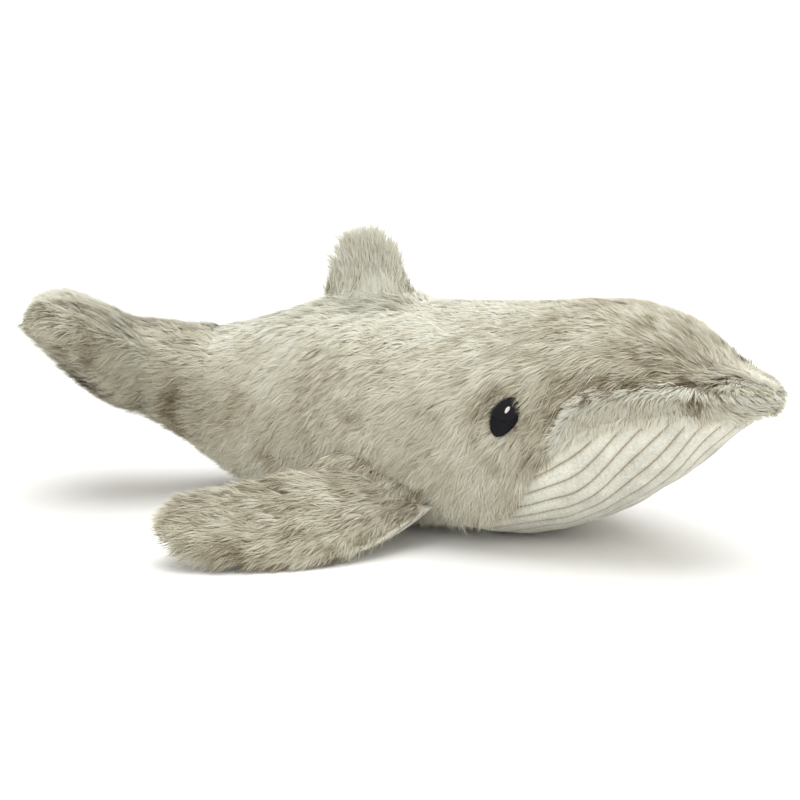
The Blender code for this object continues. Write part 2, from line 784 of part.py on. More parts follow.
def build_limb(pillow, frame, hinge, collection, tops):
    """A limb's two cover faces and its stuffing, carried by the empty on its root seam."""
    empty = hinge_empty(hinge, frame, collection)
    (top_name, top_colour), (under_name, under_colour), stuffing_name = tops
    mesh_object(top_name, lambda bm: add_limb_skin(bm, pillow, 1), top_colour, collection, empty)
    mesh_object(under_name, lambda bm: add_limb_skin(bm, pillow, -1), under_colour, collection, empty)
    mesh_object(stuffing_name, lambda bm: add_limb_stuffing(bm, pillow), FIBRE, collection, empty)


def build_body(collection):
    mesh_object("belly_panel", add_belly_panel, RIBBED_CLOTH, collection)
    mesh_object("body_stuffing", add_body_stuffing, FIBRE, collection)
    for side, name in ((-1, "right"), (1, "left")):
        mesh_object(f"back_panel_{name}", lambda bm: add_back_panel(bm, side), FUR, collection)
        mesh_object(f"upper_lip_{name}", lambda bm: add_lip(bm, side), FUR, collection)


def build_eyes(collection):
    along = EYE_ALONG_SHARE * BODY_LENGTH
    middle = (along, girth_at_height(along, EYE_HEIGHT))
    forward = GLINT_PLACE_SHARES[0] * EYE_LENGTH
    upward = GLINT_PLACE_SHARES[1] * EYE_LENGTH
    for side, name in ((-1, "right"), (1, "left")):
        eye_size = (EYE_LENGTH, EYE_BREADTH, EYE_LEAN, SEAM_GAP, EYE_RELIEF)
        mesh_object(
            f"eye_{name}",
            lambda bm: add_patch(bm, side, middle, *eye_size),
            BLACK_THREAD,
            collection,
        )
        row = body_rows(np.array([along]), np.ones(1), np.ones(1))
        quarter = (row.top[0] - row.bottom[0]) * math.pi / 2
        glint = (along - forward, middle[1] - upward / quarter)
        near = SEAM_GAP + EYE_RELIEF + SEAM_GAP
        glint_size = (GLINT_LENGTH, GLINT_BREADTH, EYE_LEAN, near, EYE_RELIEF / 2)
        mesh_object(
            f"eye_highlight_{name}",
            lambda bm: add_patch(bm, side, glint, *glint_size),
            WHITE_THREAD,
            collection,
        )


def build_limbs(collection):
    for side, name in ((-1, "right"), (1, "left")):
        build_limb(
            flipper_pillow(side),
            flipper_frame(side),
            f"flipper_{name}_root",
            collection,
            (
                (f"flipper_{name}_top", FUR),
                (f"flipper_{name}_underside", RIBBED_CLOTH),
                f"flipper_{name}_stuffing",
            ),
        )
    build_limb(
        fin_pillow(),
        fin_frame(),
        "dorsal_fin_root",
        collection,
        (("dorsal_fin_left_panel", FUR), ("dorsal_fin_right_panel", FUR), "dorsal_fin_stuffing"),
    )
    build_limb(
        fluke_pillow(),
        fluke_frame(),
        "fluke_root",
        collection,
        (("fluke_top", FUR), ("fluke_underside", FUR), "fluke_stuffing"),
    )


def main():
    for old in list(bpy.data.objects):
        bpy.data.objects.remove(old, do_unlink=True)
    collection = bpy.data.collections.new("plush_whale")
    bpy.context.scene.collection.children.link(collection)
    build_body(collection)
    build_eyes(collection)
    build_limbs(collection)


main()
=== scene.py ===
"""Looks of a plush whale: its fur, ribbed cloth, embroidered eyes and a plain pale studio.

Metres, +Z up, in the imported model's frame. The head lies towards -Y and the whale's own right
side towards -X. The forms are those of the solids, cut much finer: the solids' outer face is
where the tips of the pile lie, and the hide that the fur grows from is set in below it.
"""

import logging
import math
from dataclasses import dataclass, field
from enum import Enum
from typing import Callable, Mapping, Sequence

import bmesh
import bpy
import numpy as np
from mathutils import Matrix, Vector


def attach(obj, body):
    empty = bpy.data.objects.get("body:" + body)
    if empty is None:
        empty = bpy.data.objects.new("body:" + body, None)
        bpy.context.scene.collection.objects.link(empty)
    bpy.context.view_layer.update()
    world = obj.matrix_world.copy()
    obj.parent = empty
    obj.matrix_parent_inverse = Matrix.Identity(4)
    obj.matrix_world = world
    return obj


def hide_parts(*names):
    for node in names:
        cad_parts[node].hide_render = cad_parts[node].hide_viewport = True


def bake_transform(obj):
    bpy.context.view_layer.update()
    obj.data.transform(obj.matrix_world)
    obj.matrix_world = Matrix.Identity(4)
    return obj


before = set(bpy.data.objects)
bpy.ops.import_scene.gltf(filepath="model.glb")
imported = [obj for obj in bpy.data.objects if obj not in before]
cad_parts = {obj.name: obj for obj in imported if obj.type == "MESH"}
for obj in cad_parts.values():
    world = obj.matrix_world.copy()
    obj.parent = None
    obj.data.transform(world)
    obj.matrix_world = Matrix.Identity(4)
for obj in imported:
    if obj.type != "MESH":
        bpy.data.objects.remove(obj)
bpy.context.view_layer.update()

log = logging.getLogger("plush_whale")

Array = np.ndarray
Material = bpy.types.Material
Mesh = bpy.types.Mesh
Object = bpy.types.Object
Socket = bpy.types.NodeSocket
Tree = bpy.types.NodeTree
Faces = list[tuple[int, ...]]
Point = tuple[float, float, float]
Table = tuple[tuple[float, ...], ...]

MM = 0.001
TINY = 1e-9
MERGED = 1e-6
RIB_PITCH = 6.8 * MM
RIBS_PER_MAP = 20.0
RIB_STEP = 1.2 * MM
FUR_MAP = "OFBake"
RIB_MAP = "ribs"
FUR_SIZES = ("Density", "Tufts", "Length", "Width", "Gather", "Toss", "Stray", "Swirl", "Floor")
CARRIED = ("pile", "stand", "cover", "tint", "flow", "tone", "up", "across", "lay", "lift")


class Side(Enum):
    """The whale's own right and left, as signs of X."""

    RIGHT = -1
    LEFT = 1

    @property
    def word(self) -> str:
        """The side's name in the names of nodes."""
        return self.name.lower()


class Slot(Enum):
    """The record's material slots."""

    FUR = "fur_taupe"
    RIBBED = "ribbed_cream"
    FIBRE = "stuffing"
    BLACK = "eye_thread_black"
    WHITE = "eye_thread_white"


# Numbers on surfaces


def smooth_table(table: Sequence[Sequence[float]], places: Array) -> Array:
    """Read a table through cubic curves that don't overshoot.

    Args:
        table: rows of a place followed by the values there.
        places: the places to read at.

    Returns:
        One row of values for each place.
    """
    rows = np.asarray(table, float)
    knots = rows[:, 0]
    values = rows[:, 1:]
    places = np.clip(places, knots[0], knots[-1])
    slopes = np.diff(values, axis=0) / np.diff(knots)[:, None]
    flat = slopes[:-1] * slopes[1:] <= 0
    total = np.where(flat, 1.0, slopes[:-1] + slopes[1:])
    inner = np.where(flat, 0.0, 2 * slopes[:-1] * slopes[1:] / total)
    tangents = np.concatenate([slopes[:1], inner, slopes[-1:]])
    index = np.clip(np.searchsorted(knots, places, side="right") - 1, 0, len(knots) - 2)
    step = (knots[index + 1] - knots[index])[:, None]
    t = (places - knots[index])[:, None] / step
    return (
        values[index] * (2 * t**3 - 3 * t**2 + 1)
        + values[index + 1] * (3 * t**2 - 2 * t**3)
        + tangents[index] * step * (t**3 - 2 * t**2 + t)
        + tangents[index + 1] * step * (t**3 - t**2)
    )


def unit(vectors: Array) -> Array:
    """Vectors at length 1."""
    return vectors / np.maximum(np.linalg.norm(vectors, axis=-1, keepdims=True), TINY)


def smooth_step(low: float | Array, high: float | Array, value: float | Array) -> Array:
    """Rise smoothly from 0 at low to 1 at high."""
    share = np.clip((value - low) / (high - low), 0, 1)
    return share * share * (3 - 2 * share)


def fall(low: float | Array, high: float | Array, value: float | Array) -> Array:
    """Fall smoothly from 1 at low to 0 at high."""
    return 1 - smooth_step(low, high, value)


def bell(value: Array, middle: float | Array, width: float) -> Array:
    """Rise smoothly to 1 at a middle and fall again."""
    return np.exp(-(((value - middle) / width) ** 2))


def around(count: int) -> Array:
    """Even turns round a ring."""
    return np.linspace(0, 2 * math.pi, count, endpoint=False)


def walked(points: Array) -> Array:
    """The distances walked along rows of points."""
    steps = np.linalg.norm(np.diff(points, axis=1), axis=-1)
    return np.concatenate([np.zeros((len(points), 1)), np.cumsum(steps, axis=1)], axis=1)


def end_rounding(
    along: Array, reach: float, first_cap: float, last_cap: float, inset: float
) -> tuple[Array, Array]:
    """How far a form has rounded off near its two ends: 0 at a tip, 1 past the cap.

    Args:
        along: places along the form.
        reach: the form's whole length.
        first_cap: the length over which the first end rounds off.
        last_cap: the same at the last end.
        inset: how far the form is set in.

    Returns:
        The rounding of the first and of the last end.
    """
    first = np.clip(1 - (along - inset) / (first_cap - inset), 0, 1)
    last = np.clip(1 - (reach - inset - along) / (last_cap - inset), 0, 1)
    return np.sqrt(1 - first**2), np.sqrt(1 - last**2)


def close_ends(
    reach: float, first_cap: float, last_cap: float, inset: float, step: float
) -> Array:
    """Places along a form, at even steps, closer together in its two caps.

    Args:
        reach: the form's whole length.
        first_cap: the length of the first cap.
        last_cap: the length of the last cap.
        inset: how far the form is set in.
        step: the distance between places outside the caps.

    Returns:
        The places, from the first end to the last.
    """
    turns = np.linspace(0.06, 1, 12) * math.pi / 2
    first = inset + (first_cap - inset) * (1 - np.cos(turns))
    last = reach - inset - (last_cap - inset) * (1 - np.cos(turns[::-1]))
    count = max(2, round((reach - first_cap - last_cap) / step))
    between = np.linspace(first_cap, reach - last_cap, count + 1)[1:-1]
    return np.concatenate([first, between, last])


@dataclass(frozen=True)
class Surface:
    """A grid of surface points with its directions at each of them."""

    points: Array
    normal: Array
    down: Array
    back: Array
    def cut(self, rows: slice) -> "Surface":
        """The same for some of its rows."""
        return Surface(self.points[rows], self.normal[rows], self.down[rows], self.back[rows])

    def turned(self, points: Array, turn: Array) -> "Surface":
        """The same at other points, with its directions turned."""
        return Surface(points, self.normal @ turn, self.down @ turn, self.back @ turn)


def surface_of(points: Array, sense: int) -> Surface:
    """Work out a grid's directions.

    Args:
        points: rows by columns of points.
        sense: 1 or -1, whichever makes the normal face out.

    Returns:
        The grid with its normal, its direction from column to column and, square to that,
        its direction from row to row.
    """
    rowwise = np.gradient(points, axis=0)
    down = unit(np.gradient(points, axis=1))
    normal = unit(np.cross(rowwise, down)) * sense
    back = unit(np.cross(down, normal))
    back = back * np.sign(np.sum(back * rowwise, axis=-1, keepdims=True))
    return Surface(points, normal, down, back)


def facing(points: Array, outward: Array) -> tuple[Surface, int]:
    """Work out a grid's directions without knowing its sense.

    Args:
        points: rows by columns of points.
        outward: the way out, for the whole grid or at each point.

    Returns:
        The grid with its directions, and the sense that makes its normal face out.
    """
    surface = surface_of(points, 1)
    if np.sum(surface.normal * outward) < 0:
        return surface_of(points, -1), -1
    return surface, 1

# Meshes


def grid_faces(rows: int, columns: int, start: int, flip: bool) -> Faces:
    """Faces of a grid of vertices that are numbered row by row from start.

    Args:
        rows: the grid's rows.
        columns: its columns.
        start: the first vertex.
        flip: turn the faces over.

    Returns:
        The faces as indices of their vertices.
    """
    corners = [start + r * columns + c for r in range(rows - 1) for c in range(columns - 1)]
    faces = [(k, k + 1, k + columns + 1, k + columns) for k in corners]
    return [face[::-1] for face in faces] if flip else faces


def new_object(name: str, mesh: Mesh) -> Object:
    """Put a mesh into the scene as an object at the origin.

    Args:
        name: its name.
        mesh: the mesh.

    Returns:
        The object.
    """
    obj = bpy.data.objects.new(name, mesh)
    bpy.context.scene.collection.objects.link(obj)
    return obj


def closed_mesh(name: str, verts: Array, faces: Faces, chart: Array | None = None) -> Mesh:
    """Make a closed mesh with its normals facing out, shaded smooth.

    Args:
        name: the mesh's name.
        verts: its points.
        faces: its faces as indices into the points.
        chart: U and V of each point in the ribs' map. A mesh without it has its doubles merged.

    Returns:
        The mesh.
    """
    mesh = bpy.data.meshes.new(name)
    mesh.from_pydata(verts.reshape(-1, 3).tolist(), [], faces)
    if chart is not None:
        corners = np.empty(len(mesh.loops), int)
        mesh.loops.foreach_get("vertex_index", corners)
        layer = mesh.uv_layers.new(name=RIB_MAP)
        layer.data.foreach_set("uv", chart.reshape(-1, 2)[corners].ravel())
    bm = bmesh.new()
    bm.from_mesh(mesh)
    if chart is None:
        bmesh.ops.remove_doubles(bm, verts=bm.verts[:], dist=MERGED)
        bmesh.ops.dissolve_degenerate(bm, edges=bm.edges[:], dist=MERGED)
    bmesh.ops.recalc_face_normals(bm, faces=bm.faces[:])
    bm.to_mesh(mesh)
    bm.free()
    mesh.shade_smooth()
    return mesh


def sheet_mesh(
    name: str, outer: Array, inner: Array, chart: Array | None = None, flip: bool = False
) -> Mesh:
    """Make a sheet of cloth from its outer and inner face, walled in all round.

    Args:
        name: the mesh's name.
        outer: rows by columns of points.
        inner: the same number of points, on the inside.
        chart: U and V of each place in the ribs' map.
        flip: which way round the faces start.

    Returns:
        The closed mesh.
    """
    rows, columns = outer.shape[:2]
    size = rows * columns
    faces = grid_faces(rows, columns, 0, flip) + grid_faces(rows, columns, size, not flip)
    edge = [row * columns for row in range(rows)]
    edge += [(rows - 1) * columns + column for column in range(1, columns)]
    edge += [row * columns + columns - 1 for row in range(rows - 2, -1, -1)]
    edge += list(range(columns - 2, 0, -1))
    faces += [(a, b, b + size, a + size) for a, b in zip(edge, edge[1:] + edge[:1])]
    charts = None if chart is None else np.stack([chart, chart])
    return closed_mesh(name, np.stack([outer, inner]), faces, charts)


def loft_mesh(name: str, rings: Array) -> Mesh:
    """Make a closed form through rings of points.

    Args:
        name: the mesh's name.
        rings: rings by points.

    Returns:
        The closed mesh, capped at both ends.
    """
    count, spokes = rings.shape[:2]
    faces = []
    for low in range(0, (count - 1) * spokes, spokes):
        high = low + spokes
        pairs = [(spoke, (spoke + 1) % spokes) for spoke in range(spokes)]
        faces += [(low + a, low + b, high + b, high + a) for a, b in pairs]
    faces.append(tuple(range(spokes)))
    faces.append(tuple(range((count - 1) * spokes, count * spokes)))
    return closed_mesh(name, rings, faces)


# Ribs


def rib_groove(arc: Array, depth: float, power: int) -> Array:
    """How deep the groove is at distances across the ribs: the higher the power, the narrower."""
    phase = np.abs((arc / RIB_PITCH + 0.5) % 1.0 - 0.5) * 2
    return depth * (1 - np.sqrt(np.maximum(1 - phase**power, 0)))


def rib_chart(arc: Array, along: Array) -> Array:
    """The ribs' map: U counts the ribs across the cloth and V is the share along it."""
    count = 0.5 + arc / RIB_PITCH / RIBS_PER_MAP
    return np.stack([count, np.broadcast_to(along[:, None], arc.shape)], -1)

# Node trees


class Wiring:
    """Adds nodes to one tree and joins them, so that each step reads as one call."""

    def __init__(self, tree: Tree) -> None:
        """Take the tree to add to."""
        self.tree = tree

    @staticmethod
    def socket(sockets: object, key: int | str) -> Socket:
        """Find a socket by its identifier, or else by its place or its name.

        Args:
            sockets: a node's inputs or outputs.
            key: the identifier, place or name.

        Returns:
            The socket.
        """
        known = [socket for socket in sockets if socket.identifier == key]
        return known[0] if known else sockets[key]

    def feed(self, node: bpy.types.Node, feeds: Mapping[int | str, object]) -> None:
        """Give a node's inputs a value or join them to a socket.

        Args:
            node: the node.
            feeds: for each input, a socket or a value.
        """
        for key, value in feeds.items():
            target = self.socket(node.inputs, key)
            if isinstance(value, Socket):
                self.tree.links.new(value, target)
            else:
                target.default_value = value

    def node(
        self,
        kind: str,
        options: Mapping[str, object] | None = None,
        feeds: Mapping[int | str, object] | None = None,
    ) -> bpy.types.Node:
        """Add a node.

        Args:
            kind: the node's type.
            options: its own settings.
            feeds: for each input, a socket to join to it or a value.

        Returns:
            The node.
        """
        node = self.tree.nodes.new(kind)
        for name, value in (options or {}).items():
            setattr(node, name, value)
        self.feed(node, feeds or {})
        return node

    def math(self, operation: str, *values: object) -> Socket:
        """Work out one number from others."""
        feeds = dict(enumerate(values))
        return self.node("ShaderNodeMath", {"operation": operation}, feeds).outputs[0]

    def vector(self, operation: str, *values: object) -> Socket:
        """Work out one vector from others."""
        feeds = dict(enumerate(values))
        return self.node("ShaderNodeVectorMath", {"operation": operation}, feeds).outputs[0]

    def scaled(self, vector: object, factor: object) -> Socket:
        """A vector or a colour times a number."""
        feeds = {"Vector": vector, "Scale": factor}
        return self.node("ShaderNodeVectorMath", {"operation": "SCALE"}, feeds).outputs[0]

    def length(self, vector: object) -> Socket:
        """The length of a vector."""
        node = self.node("ShaderNodeVectorMath", {"operation": "LENGTH"}, {0: vector})
        return node.outputs["Value"]

    def joined(self, *parts: object) -> Socket:
        """A vector from its parts."""
        return self.node("ShaderNodeCombineXYZ", feeds=dict(enumerate(parts))).outputs[0]

    def parted(self, vector: object) -> Sequence[Socket]:
        """The parts of a vector."""
        return self.node("ShaderNodeSeparateXYZ", feeds={0: vector}).outputs

    def noise(self, place: object, scale: object, detail: float = 2.0, **more: float) -> Socket:
        """Uneven values about a half."""
        feeds = {"Vector": place, "Scale": scale, "Detail": detail, **more}
        return self.node("ShaderNodeTexNoise", feeds=feeds).outputs[0]

    def chart(self, name: str) -> Sequence[Socket]:
        """The U and V of a map."""
        return self.parted(self.node("ShaderNodeUVMap", {"uv_map": name}).outputs[0])

    def ramp(self, factor: object, stops: Sequence[tuple[float, "Colour"]]) -> Socket:
        """A colour read from stops along a scale.

        Args:
            factor: the place on the scale.
            stops: places and their colours.

        Returns:
            The colour.
        """
        node = self.node("ShaderNodeValToRGB", feeds={"Fac": factor})
        elements = node.color_ramp.elements
        for index, (place, colour) in enumerate(stops):
            stop = elements[index] if index < 2 else elements.new(place)
            stop.position = place
            stop.color = colour.linear
        return node.outputs["Color"]

    def mix(self, factor: object, first: object, second: object) -> Socket:
        """A colour between two others.

        Args:
            factor: 0 for the first colour and 1 for the second.
            first: the first colour.
            second: the second colour.

        Returns:
            The colour.
        """
        options = {"data_type": "RGBA", "clamp_result": True}
        feeds = {"Factor_Float": factor, "A_Color": first, "B_Color": second}
        node = self.node("ShaderNodeMix", options, feeds)
        return self.socket(node.outputs, "Result_Color")

    def seen(self) -> Socket:
        """1 where the camera sees the thing itself, straight or in a gloss, and else 0.

        Returns:
            A socket.
        """
        path = self.node("ShaderNodeLightPath").outputs
        seen = self.math("MAXIMUM", path["Is Camera Ray"], path["Is Glossy Ray"])
        return self.math("MAXIMUM", seen, path["Is Transmission Ray"])

    def carried(self, name: str, kind: str = "FLOAT") -> Socket:
        """A value that the geometry carries."""
        node = self.node("GeometryNodeInputNamedAttribute", {"data_type": kind}, {"Name": name})
        return node.outputs[0]

    def stored(self, geometry: Socket, name: str, value: Socket, kind: str, domain: str) -> Socket:
        """Geometry that carries one more value.

        Args:
            geometry: the geometry.
            name: the value's name.
            value: the value.
            kind: its data type.
            domain: what carries it.

        Returns:
            The geometry with the value.
        """
        options = {"data_type": kind, "domain": domain}
        feeds = {"Geometry": geometry, "Name": name, "Value": value}
        return self.node("GeometryNodeStoreNamedAttribute", options, feeds).outputs[0]

    def copies(
        self, points: Socket, model: Socket, lay: Socket, lift: Socket, sizes: Sequence[Socket]
    ) -> Socket:
        """Put a copy of a model at each point.

        Args:
            points: the points.
            model: the object to copy.
            lay: where each copy's Y points, and how long it gets.
            lift: where its Z leans.
            sizes: its breadth and its height.

        Returns:
            The copies as plain geometry.
        """
        axes = {"primary_axis": "Y", "secondary_axis": "Z"}
        turned = self.node("FunctionNodeAxesToRotation", axes, {0: lay, 1: lift}).outputs[0]
        size = self.joined(sizes[0], self.length(lay), sizes[1])
        shape = self.node("GeometryNodeObjectInfo", feeds={"Object": model}).outputs["Geometry"]
        feeds = {"Points": points, "Instance": shape, "Rotation": turned, "Scale": size}
        laid = self.node("GeometryNodeInstanceOnPoints", feeds=feeds).outputs[0]
        return self.node("GeometryNodeRealizeInstances", feeds={"Geometry": laid}).outputs[0]

    def finished(self, geometry: Socket, finish: Socket) -> Tree:
        """Put the geometry out in its finish, and give back the whole tree.

        Args:
            geometry: the geometry.
            finish: its material.

        Returns:
            The whole tree.
        """
        feeds = {"Geometry": geometry, "Material": finish}
        done = self.node("GeometryNodeSetMaterial", feeds=feeds)
        self.node("NodeGroupOutput", feeds={0: done.outputs[0]})
        return self.tree


def start_group(
    kind: str, name: str, inputs: Mapping[str, str], outputs: Sequence[str]
) -> tuple[Wiring, Sequence[Socket]]:
    """Begin a node group.

    Args:
        kind: "Shader" or "Geometry".
        name: the group's name.
        inputs: the kind of socket of each input.
        outputs: its outputs, which are numbers in a shader group and else geometry.

    Returns:
        The group's wiring and what the group is given.
    """
    tree = bpy.data.node_groups.new(name, f"{kind}NodeTree")
    for label, socket in inputs.items():
        tree.interface.new_socket(label, in_out="INPUT", socket_type=f"NodeSocket{socket}")
    socket = "NodeSocketFloat" if kind == "Shader" else "NodeSocketGeometry"
    for label in outputs:
        tree.interface.new_socket(label, in_out="OUTPUT", socket_type=socket)
    wiring = Wiring(tree)
    return wiring, wiring.node("NodeGroupInput").outputs


def run_tree(name: str, start: Mesh, tree: Tree, values: Mapping[str, object]) -> Object:
    """Run a mesh through a geometry group.

    Args:
        name: the piece's name.
        start: the mesh that the group begins with.
        tree: the group.
        values: what its inputs are given.

    Returns:
        The outcome as one plain mesh, without the values that it carried on the way.
    """
    holder = new_object("start", start)
    modifier = holder.modifiers.new("tree", "NODES")
    modifier.node_group = tree
    for item in tree.interface.items_tree:
        if item.in_out == "INPUT" and item.name in values:
            modifier[item.identifier] = values[item.name]
    graph = bpy.context.evaluated_depsgraph_get()
    mesh = bpy.data.meshes.new_from_object(holder.evaluated_get(graph), depsgraph=graph)
    bpy.data.objects.remove(holder, do_unlink=True)
    for label in CARRIED:
        if label in mesh.attributes:
            mesh.attributes.remove(mesh.attributes[label])
    mesh.name = name
    return new_object(name, mesh)


def carry(mesh: Mesh, values: Mapping[str, Array]) -> None:
    """Let a mesh carry numbers or vectors at its points, by their names.

    Args:
        mesh: the mesh.
        values: numbers or vectors for all points, by name.
    """
    for label, numbers in values.items():
        numbers = np.asarray(numbers, float)
        kind, field_name = ("FLOAT_VECTOR", "vector") if numbers.ndim > 1 else ("FLOAT", "value")
        made = mesh.attributes.new(label, kind, "POINT")
        made.data.foreach_set(field_name, numbers.ravel())


@dataclass(frozen=True)
class Colour:
    """A colour as it is seen, in the usual 0 to 255."""

    red: float
    green: float
    blue: float

    @property
    def linear(self) -> tuple[float, float, float, float]:
        """The colour as Blender's nodes take it."""
        shares = [value / 255 for value in (self.red, self.green, self.blue)]
        return (*[s / 12.92 if s <= 0.04045 else ((s + 0.055) / 1.055) ** 2.4 for s in shares], 1.0)


def fibre_grain() -> Tree:
    """Build the group that gives cloth its fine uneven grain.

    Returns:
        A group with a scale and a strength that puts out a shade and a height.
    """
    inputs = {"Scale": "Float", "Strength": "Float"}
    wiring, given = start_group("Shader", "fibre grain", inputs, ("Shade", "Height"))
    place = wiring.node("ShaderNodeTexCoord").outputs["Object"]
    fine = wiring.noise(place, given[0], 4.0, Roughness=0.65)
    broad = wiring.noise(place, wiring.math("MULTIPLY", given[0], 0.07), 4.0, Roughness=0.65)
    both = wiring.math("ADD", fine, broad)
    swing = wiring.math("MULTIPLY", wiring.math("SUBTRACT", both, 1.0), given[1])
    shade = wiring.math("ADD", swing, 1.0)
    wiring.node("NodeGroupOutput", feeds={"Shade": shade, "Height": fine})
    return wiring.tree


# Finishes


@dataclass(frozen=True)
class Finish:
    """What every finish shares: a material with one Principled shader."""

    name: str
    roughness: float = 0.85
    sheen: float = 0.25

    def begin(self) -> tuple[Material, Wiring, bpy.types.Node]:
        """Make the material.

        Returns:
            The material, the wiring of its tree and its shader.
        """
        material = bpy.data.materials.new(self.name)
        material.use_nodes = True
        wiring = Wiring(material.node_tree)
        shader = material.node_tree.nodes["Principled BSDF"]
        looks = {
            "Roughness": self.roughness,
            "Metallic": 0.0,
            "Specular IOR Level": 0.15,
            "Sheen Weight": self.sheen,
            "Sheen Roughness": 0.45,
        }
        wiring.feed(shader, looks)
        return material, wiring, shader


@dataclass(frozen=True)
class FurFinish(Finish):
    """Pile with painted shade at its roots, darker and browner; each tuft in its own shade."""

    shades: tuple[tuple[float, Colour], ...] = (
        (0.07, Colour(134, 120, 97)),
        (0.17, Colour(170, 159, 134)),
        (0.35, Colour(210, 205, 184)),
        (0.65, Colour(231, 228, 210)),
        (0.95, Colour(246, 246, 234)),
    )
    # How light the roots are against the tips: painted shade deep in the pile.
    root_shade: float = 0.78
    rise: float = 0.7

    def build(self) -> Material:
        """Make the material, which reads only the strands' own map.

        Returns:
            The material.
        """
        material, wiring, shader = self.begin()
        parts = wiring.chart(FUR_MAP)
        colour = wiring.ramp(parts[0], self.shades)
        # Darker towards the root: painted shade deep in the pile.
        rise = wiring.math("POWER", parts[1], self.rise)
        shade = wiring.math("MULTIPLY_ADD", rise, 1 - self.root_shade, self.root_shade)
        wiring.feed(shader, {"Base Color": wiring.scaled(colour, shade)})
        return material


@dataclass(frozen=True)
class ClothFinish(Finish):
    """Knitted backing, thread or fibre: one colour with a fine uneven grain."""

    colour: Colour = Colour(214, 205, 181)
    grain_scale: float = 1400.0
    grain: float = 0.5
    relief: float = 0.0
    relief_height: float = 0.2 * MM

    def face(self, wiring: Wiring) -> object:
        """The colour that the grain varies."""
        return self.colour.linear[:3]

    def build(self, group: Tree) -> Material:
        """Make the material, with the group that gives its grain.

        Args:
            group: the grain's group.

        Returns:
            The material.
        """
        material, wiring, shader = self.begin()
        feeds = {"Scale": self.grain_scale, "Strength": self.grain}
        grain = wiring.node("ShaderNodeGroup", {"node_tree": group}, feeds).outputs
        wiring.feed(shader, {"Base Color": wiring.scaled(self.face(wiring), grain["Shade"])})
        if self.relief:
            feeds = {"Strength": self.relief, "Distance": self.relief_height}
            bump = wiring.node("ShaderNodeBump", feeds={"Height": grain["Height"], **feeds})
            wiring.feed(shader, {"Normal": bump.outputs[0]})
        return material


@dataclass(frozen=True)
class RibbedClothFinish(ClothFinish):
    """Cream velour in wide ribs. The map's U counts ribs, with a groove at each half."""

    colour: Colour = Colour(233, 233, 221)
    # The flank and groove colours are painted shade in the grooves, over their relief.
    flank: Colour = Colour(222, 219, 204)
    groove: Colour = Colour(160, 150, 130)
    grain_scale: float = 1000.0
    grain: float = 0.85
    relief: float = 0.6
    relief_height: float = 0.25 * MM
    wander_scale: float = 160.0
    wander: float = 0.05

    def face(self, wiring: Wiring) -> object:
        """The colour across the ribs, with painted shade in the grooves, which the grain varies.

        Args:
            wiring: the material's wiring.

        Returns:
            The colour.
        """
        counted = wiring.math("MULTIPLY", wiring.chart(RIB_MAP)[0], RIBS_PER_MAP)
        place = wiring.node("ShaderNodeTexCoord").outputs["Object"]
        wander = wiring.math("MULTIPLY", wiring.noise(place, self.wander_scale), self.wander)
        counted = wiring.math("ADD", counted, wander)
        middle = 0.5 - self.wander / 2
        share = wiring.math("PINGPONG", wiring.math("ADD", counted, middle), 0.5)
        across = wiring.math("MULTIPLY", share, 2.0)
        # Painted shade: darkest in the groove, lighter on the rib's flank.
        stops = ((0.0, self.groove), (0.17, self.flank), (0.50, self.colour), (1.0, self.colour))
        return wiring.ramp(across, stops)


@dataclass
class Wardrobe:
    """All finishes of the whale, made once."""

    fur: Material = field(init=False)
    hide: Material = field(init=False)
    ribbed: Material = field(init=False)
    fibre: Material = field(init=False)
    black: Material = field(init=False)
    white: Material = field(init=False)

    def __post_init__(self) -> None:
        """Make every material."""
        grain = fibre_grain()
        fibre = {"colour": Colour(238, 238, 234), "grain_scale": 500.0, "grain": 0.2}
        thread = {"sheen": 0.0, "grain_scale": 3000.0, "grain": 0.35}
        black, white = Colour(27, 26, 31), Colour(244, 244, 240)
        self.fur = FurFinish("fur pile", roughness=0.8, sheen=0.3).build()
        self.hide = ClothFinish("fur backing", relief=0.5).build(grain)
        self.ribbed = RibbedClothFinish("ribbed velour", sheen=0.5).build(grain)
        self.fibre = ClothFinish("stuffing fibre", **fibre).build(grain)
        self.black = ClothFinish("black thread", 0.36, colour=black, **thread).build(grain)
        self.white = ClothFinish("white thread", 0.45, colour=white, **thread).build(grain)


@dataclass(frozen=True)
class Crossing:
    """A root seam that a piece crosses, from one body to the other."""

    first: str
    second: str
    start: tuple[float, ...]
    end: tuple[float, ...]

    def __str__(self) -> str:
        """Both bodies, for the report."""
        return f"{self.first} and {self.second}"


def hand_over(
    piece: Object,
    body: str | Crossing,
    replaced: Sequence[str] = (),
) -> None:
    """Attach a finished piece to its body, or fix it where it lies across a seam.

    Args:
        piece: the piece.
        body: the body it rides on, or the seam that it crosses.
        replaced: nodes it stands for.
    """
    if isinstance(body, Crossing):
        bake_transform(piece)
    else:
        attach(piece, body)
    if replaced:
        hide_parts(*replaced)
    triangles = len(piece.data.loops) - 2 * len(piece.data.polygons)
    log.info("%s: rides on %s, %d triangles", piece.name, body, triangles)


def make_piece(
    mesh: Mesh,
    finish: Material,
    body: str | Crossing,
    replaced: Sequence[str],
) -> None:
    """Put a mesh into the scene in its finish and hand it over.

    Args:
        mesh: the mesh, which has the piece's name.
        finish: its material.
        body: the body it rides on, or the seam that it crosses.
        replaced: nodes it stands for.
    """
    mesh.materials.append(finish)
    hand_over(new_object(mesh.name, mesh), body, replaced)


# Fur


@dataclass(frozen=True)
class Coat:
    """How the fur lies on a grid: its direction in space and its length as a share."""

    surface: Surface
    direction: Array
    pile: Array
    cover: Array
    least_stand: float = 0.18
    most_stand: float = 0.92
    # How much lighter or darker the fur is; much of it is painted light and shade.
    tint: Array | float = 0.0


